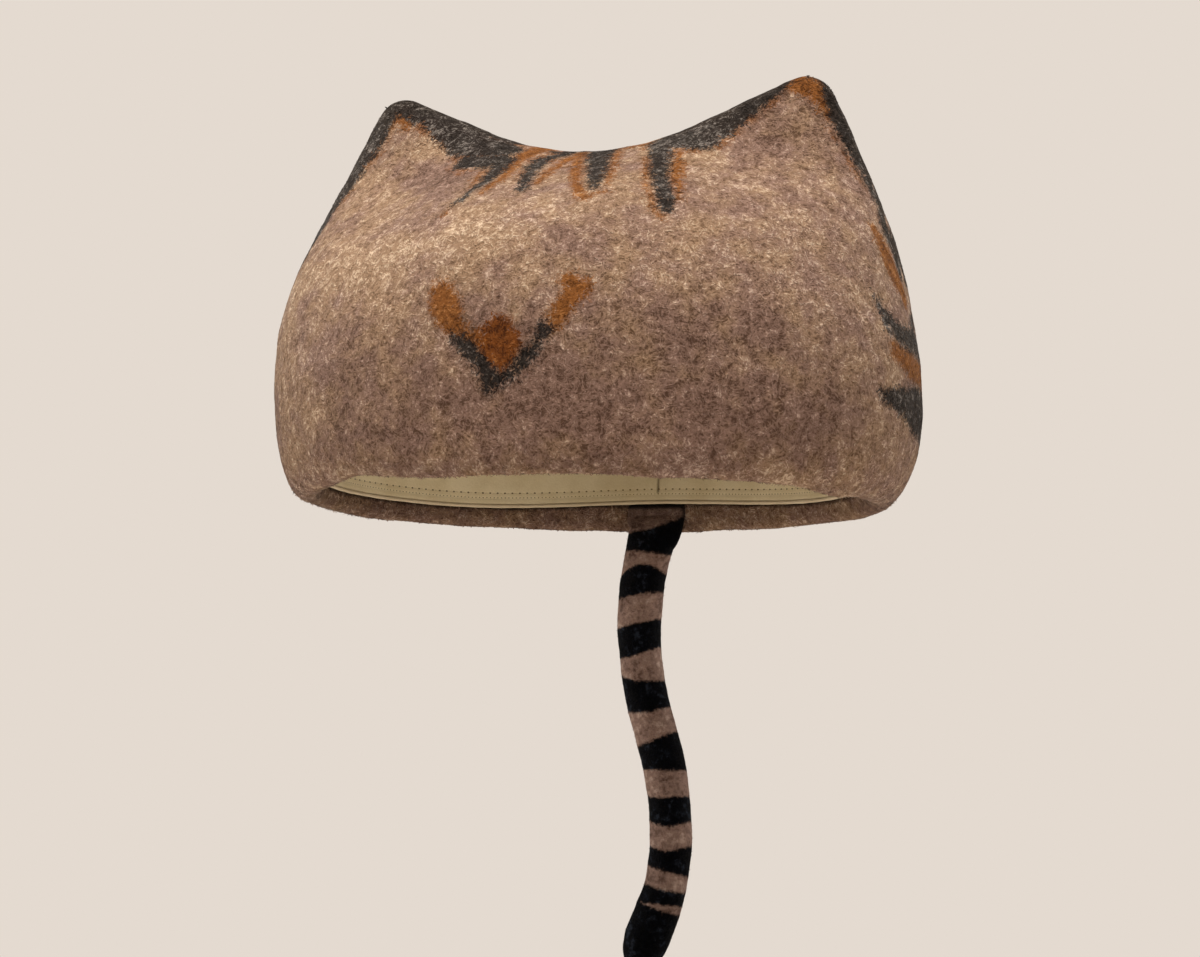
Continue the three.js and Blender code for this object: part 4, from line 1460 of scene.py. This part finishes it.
def make_tail():
    middle, width, thickness = tail_line(TAIL_RINGS)
    along = np.gradient(middle, axis=0)
    along /= np.linalg.norm(along, axis=1)[:, None]
    across = np.cross(along, np.array([0.0, 1.0, 0.0]))
    across /= np.linalg.norm(across, axis=1)[:, None]
    across *= np.sign(across[:, :1])
    through = np.cross(across, along)
    turn = ring_angles(TAIL_SIDES)
    share = np.cos(turn)
    points = []
    stripe = []
    for i in range(TAIL_RINGS):
        ring = (
            middle[i]
            + across[i] * (width[i] / 2) * np.cos(turn)[:, None]
            + through[i] * (thickness[i] / 2) * np.sin(turn)[:, None]
        )
        points.append(ring)
        away = np.full(TAIL_SIDES, STRIPE_LIMIT)
        for row in STRIPES:
            edges = []
            for left, centre, right in (row[:3], row[3:]):
                bend = (left + right) / 2 - centre
                edges.append(centre + (right - left) / 2 * share + bend * share**2)
            level = middle[i][2]
            away = np.minimum(away, np.maximum(level - edges[0], edges[1] - level))
        stripe.append(away)
    points = np.concatenate(points)
    tail = make_mesh("wool_tail", points, rod_faces(TAIL_RINGS, TAIL_SIDES))
    keep_number(tail, "stripe", np.concatenate(stripe))
    height = points[:, 2]
    lift = bumps(points, TAIL_LUMPS) * smooth_step(-height, 4, 14)
    move_corners(tail, points + corner_normals(tail) * lift[:, None])
    keep_number(tail, "fuzz_share", smooth_step(-height, 0.0, 3.0))
    # Painted shade: darker towards the root, where the tail goes under the band and the piping, and
    # down its right edge near the top
    shade = 0.3 * smooth_step(height, -12.0, -6.0) + 0.25 * smooth_step(height, -4.0, 0.0)
    shade += 0.45 * smooth_step(height, -0.6, 1.0)
    right_edge = smooth_step(points[:, 0], 11.2, 12.6) * smooth_step(height, -9.0, -6.0)
    keep_number(tail, "root_shade", np.maximum(shade, 0.85 * right_edge))
    return tail


tail = make_tail()
tail.data.materials.append(make_tail_felt())
tail_strips = fibre_shapes("tail_fibre", 0.1, 12)
tail_values = fuzz_values(TAIL_FUZZ_DENSITY, 0.6, 1.7, 0.25, 31, tail_strips, make_tail_fuzz())
tail_fuzz = grow("tail_fuzz", tail, scatter_tree, tail_values)
finish_piece(tail_fuzz, "tail_wool")
finish_piece(tail, "tail_wool", "tail")


# Floor, light and camera
FLOOR_RADIUS = 750
FLOOR_HEIGHT = -212.0
FLOOR_SIDES = 96


def make_floor():
    angle = ring_angles(FLOOR_SIDES)
    level = np.full(FLOOR_SIDES, FLOOR_HEIGHT)
    ring = np.stack([FLOOR_RADIUS * np.cos(angle), FLOOR_RADIUS * np.sin(angle), level], 1)
    floor = make_mesh("floor", ring, [list(range(FLOOR_SIDES))], smooth=False)
    material, tree, shader = new_material("pale_painted_board")
    feed(tree, shader, {"Base Color": linear("#C4BBB2"), "Roughness": 0.9})
    floor.data.materials.append(material)


def make_world():
    """A pale room: even and beige at eye level, lighter above and darker below."""
    world = bpy.data.worlds.new("pale_room")
    bpy.context.scene.world = world
    world.use_nodes = True
    tree = world.node_tree
    tree.nodes.clear()
    place = add(tree, "ShaderNodeTexCoord").outputs["Generated"]
    height = add(tree, "ShaderNodeSeparateXYZ", {0: place}).outputs[2]
    above = ease(tree, height, 0.0, 0.9, 0.14, 0.38)
    below = ease(tree, height, -0.5, 0.0, 0.3, 1.0)
    room = calc(tree, "MULTIPLY", above, below)
    seen = add(tree, "ShaderNodeLightPath").outputs["Is Camera Ray"]
    strength = add(tree, "ShaderNodeMix", {0: seen, 2: room, 3: 1.0}, data_type="FLOAT").outputs[0]
    glow = {"Color": linear("#E4DAD0"), "Strength": strength}
    surface = add(tree, "ShaderNodeBackground", glow).outputs[0]
    add(tree, "ShaderNodeOutputWorld", {"Surface": surface})


# Lights, in metres: name, place, height that it aims at, width, power, colour
LIGHTS = (
    ("key", (0.0, -1.15, 2.9), 0.05, 1.3, 137, "#FFF6EA"),
    ("fill", (1.5, -1.35, -0.12), 0.02, 1.4, 6.4, "#FFFBF6"),
    ("left_panel", (-1.6, -0.05, 0.3), 0.04, 1.2, 15, "#FFFBF6"),
    ("right_panel", (1.25, 1.0, 0.4), 0.04, 1.2, 11.5, "#FFFBF6"),
)


def make_light(name, place, aim_height, size, power, code):
    light = bpy.data.lights.new(name, "AREA")
    light.shape = "DISK"
    light.size = size
    light.energy = power
    light.color = linear(code)[:3]
    lamp = put_in_scene(name, light)
    lamp.location = place
    ahead = Vector((0, 0, aim_height)) - Vector(place)
    lamp.rotation_euler = ahead.to_track_quat("-Z", "Y").to_euler()


# The photo's camera: degrees, metres away, and the point that it aims at in millimetres
CAMERA_AZIMUTH = 19.76
CAMERA_ELEVATION = -7.73
CAMERA_ROLL = 1.95
CAMERA_LENS = 92.2
CAMERA_DISTANCE = 1.1669
AIM_ACROSS = 4.64
AIM_HEIGHT = 1.7


def make_camera():
    azimuth = math.radians(CAMERA_AZIMUTH)
    elevation = math.radians(CAMERA_ELEVATION)
    level = math.cos(elevation)
    away = Vector((math.sin(azimuth) * level, -math.cos(azimuth) * level, math.sin(elevation)))
    across = Vector((math.cos(azimuth), math.sin(azimuth), 0))
    aim = across * AIM_ACROSS * MM + Vector((0, 0, AIM_HEIGHT * MM))
    settings = bpy.data.cameras.new("camera")
    settings.lens = CAMERA_LENS
    settings.sensor_width = 36
    settings.clip_start = 0.05
    camera = put_in_scene("camera", settings)
    camera.location = aim + away * CAMERA_DISTANCE
    camera.rotation_euler = (-away).to_track_quat("-Z", "Y").to_euler()
    camera.rotation_euler.rotate_axis("Z", math.radians(CAMERA_ROLL))
    bpy.context.scene.camera = camera


make_floor()
make_world()
for light in LIGHTS:
    make_light(*light)
make_camera()
bpy.context.scene.view_settings.view_transform = "Standard"
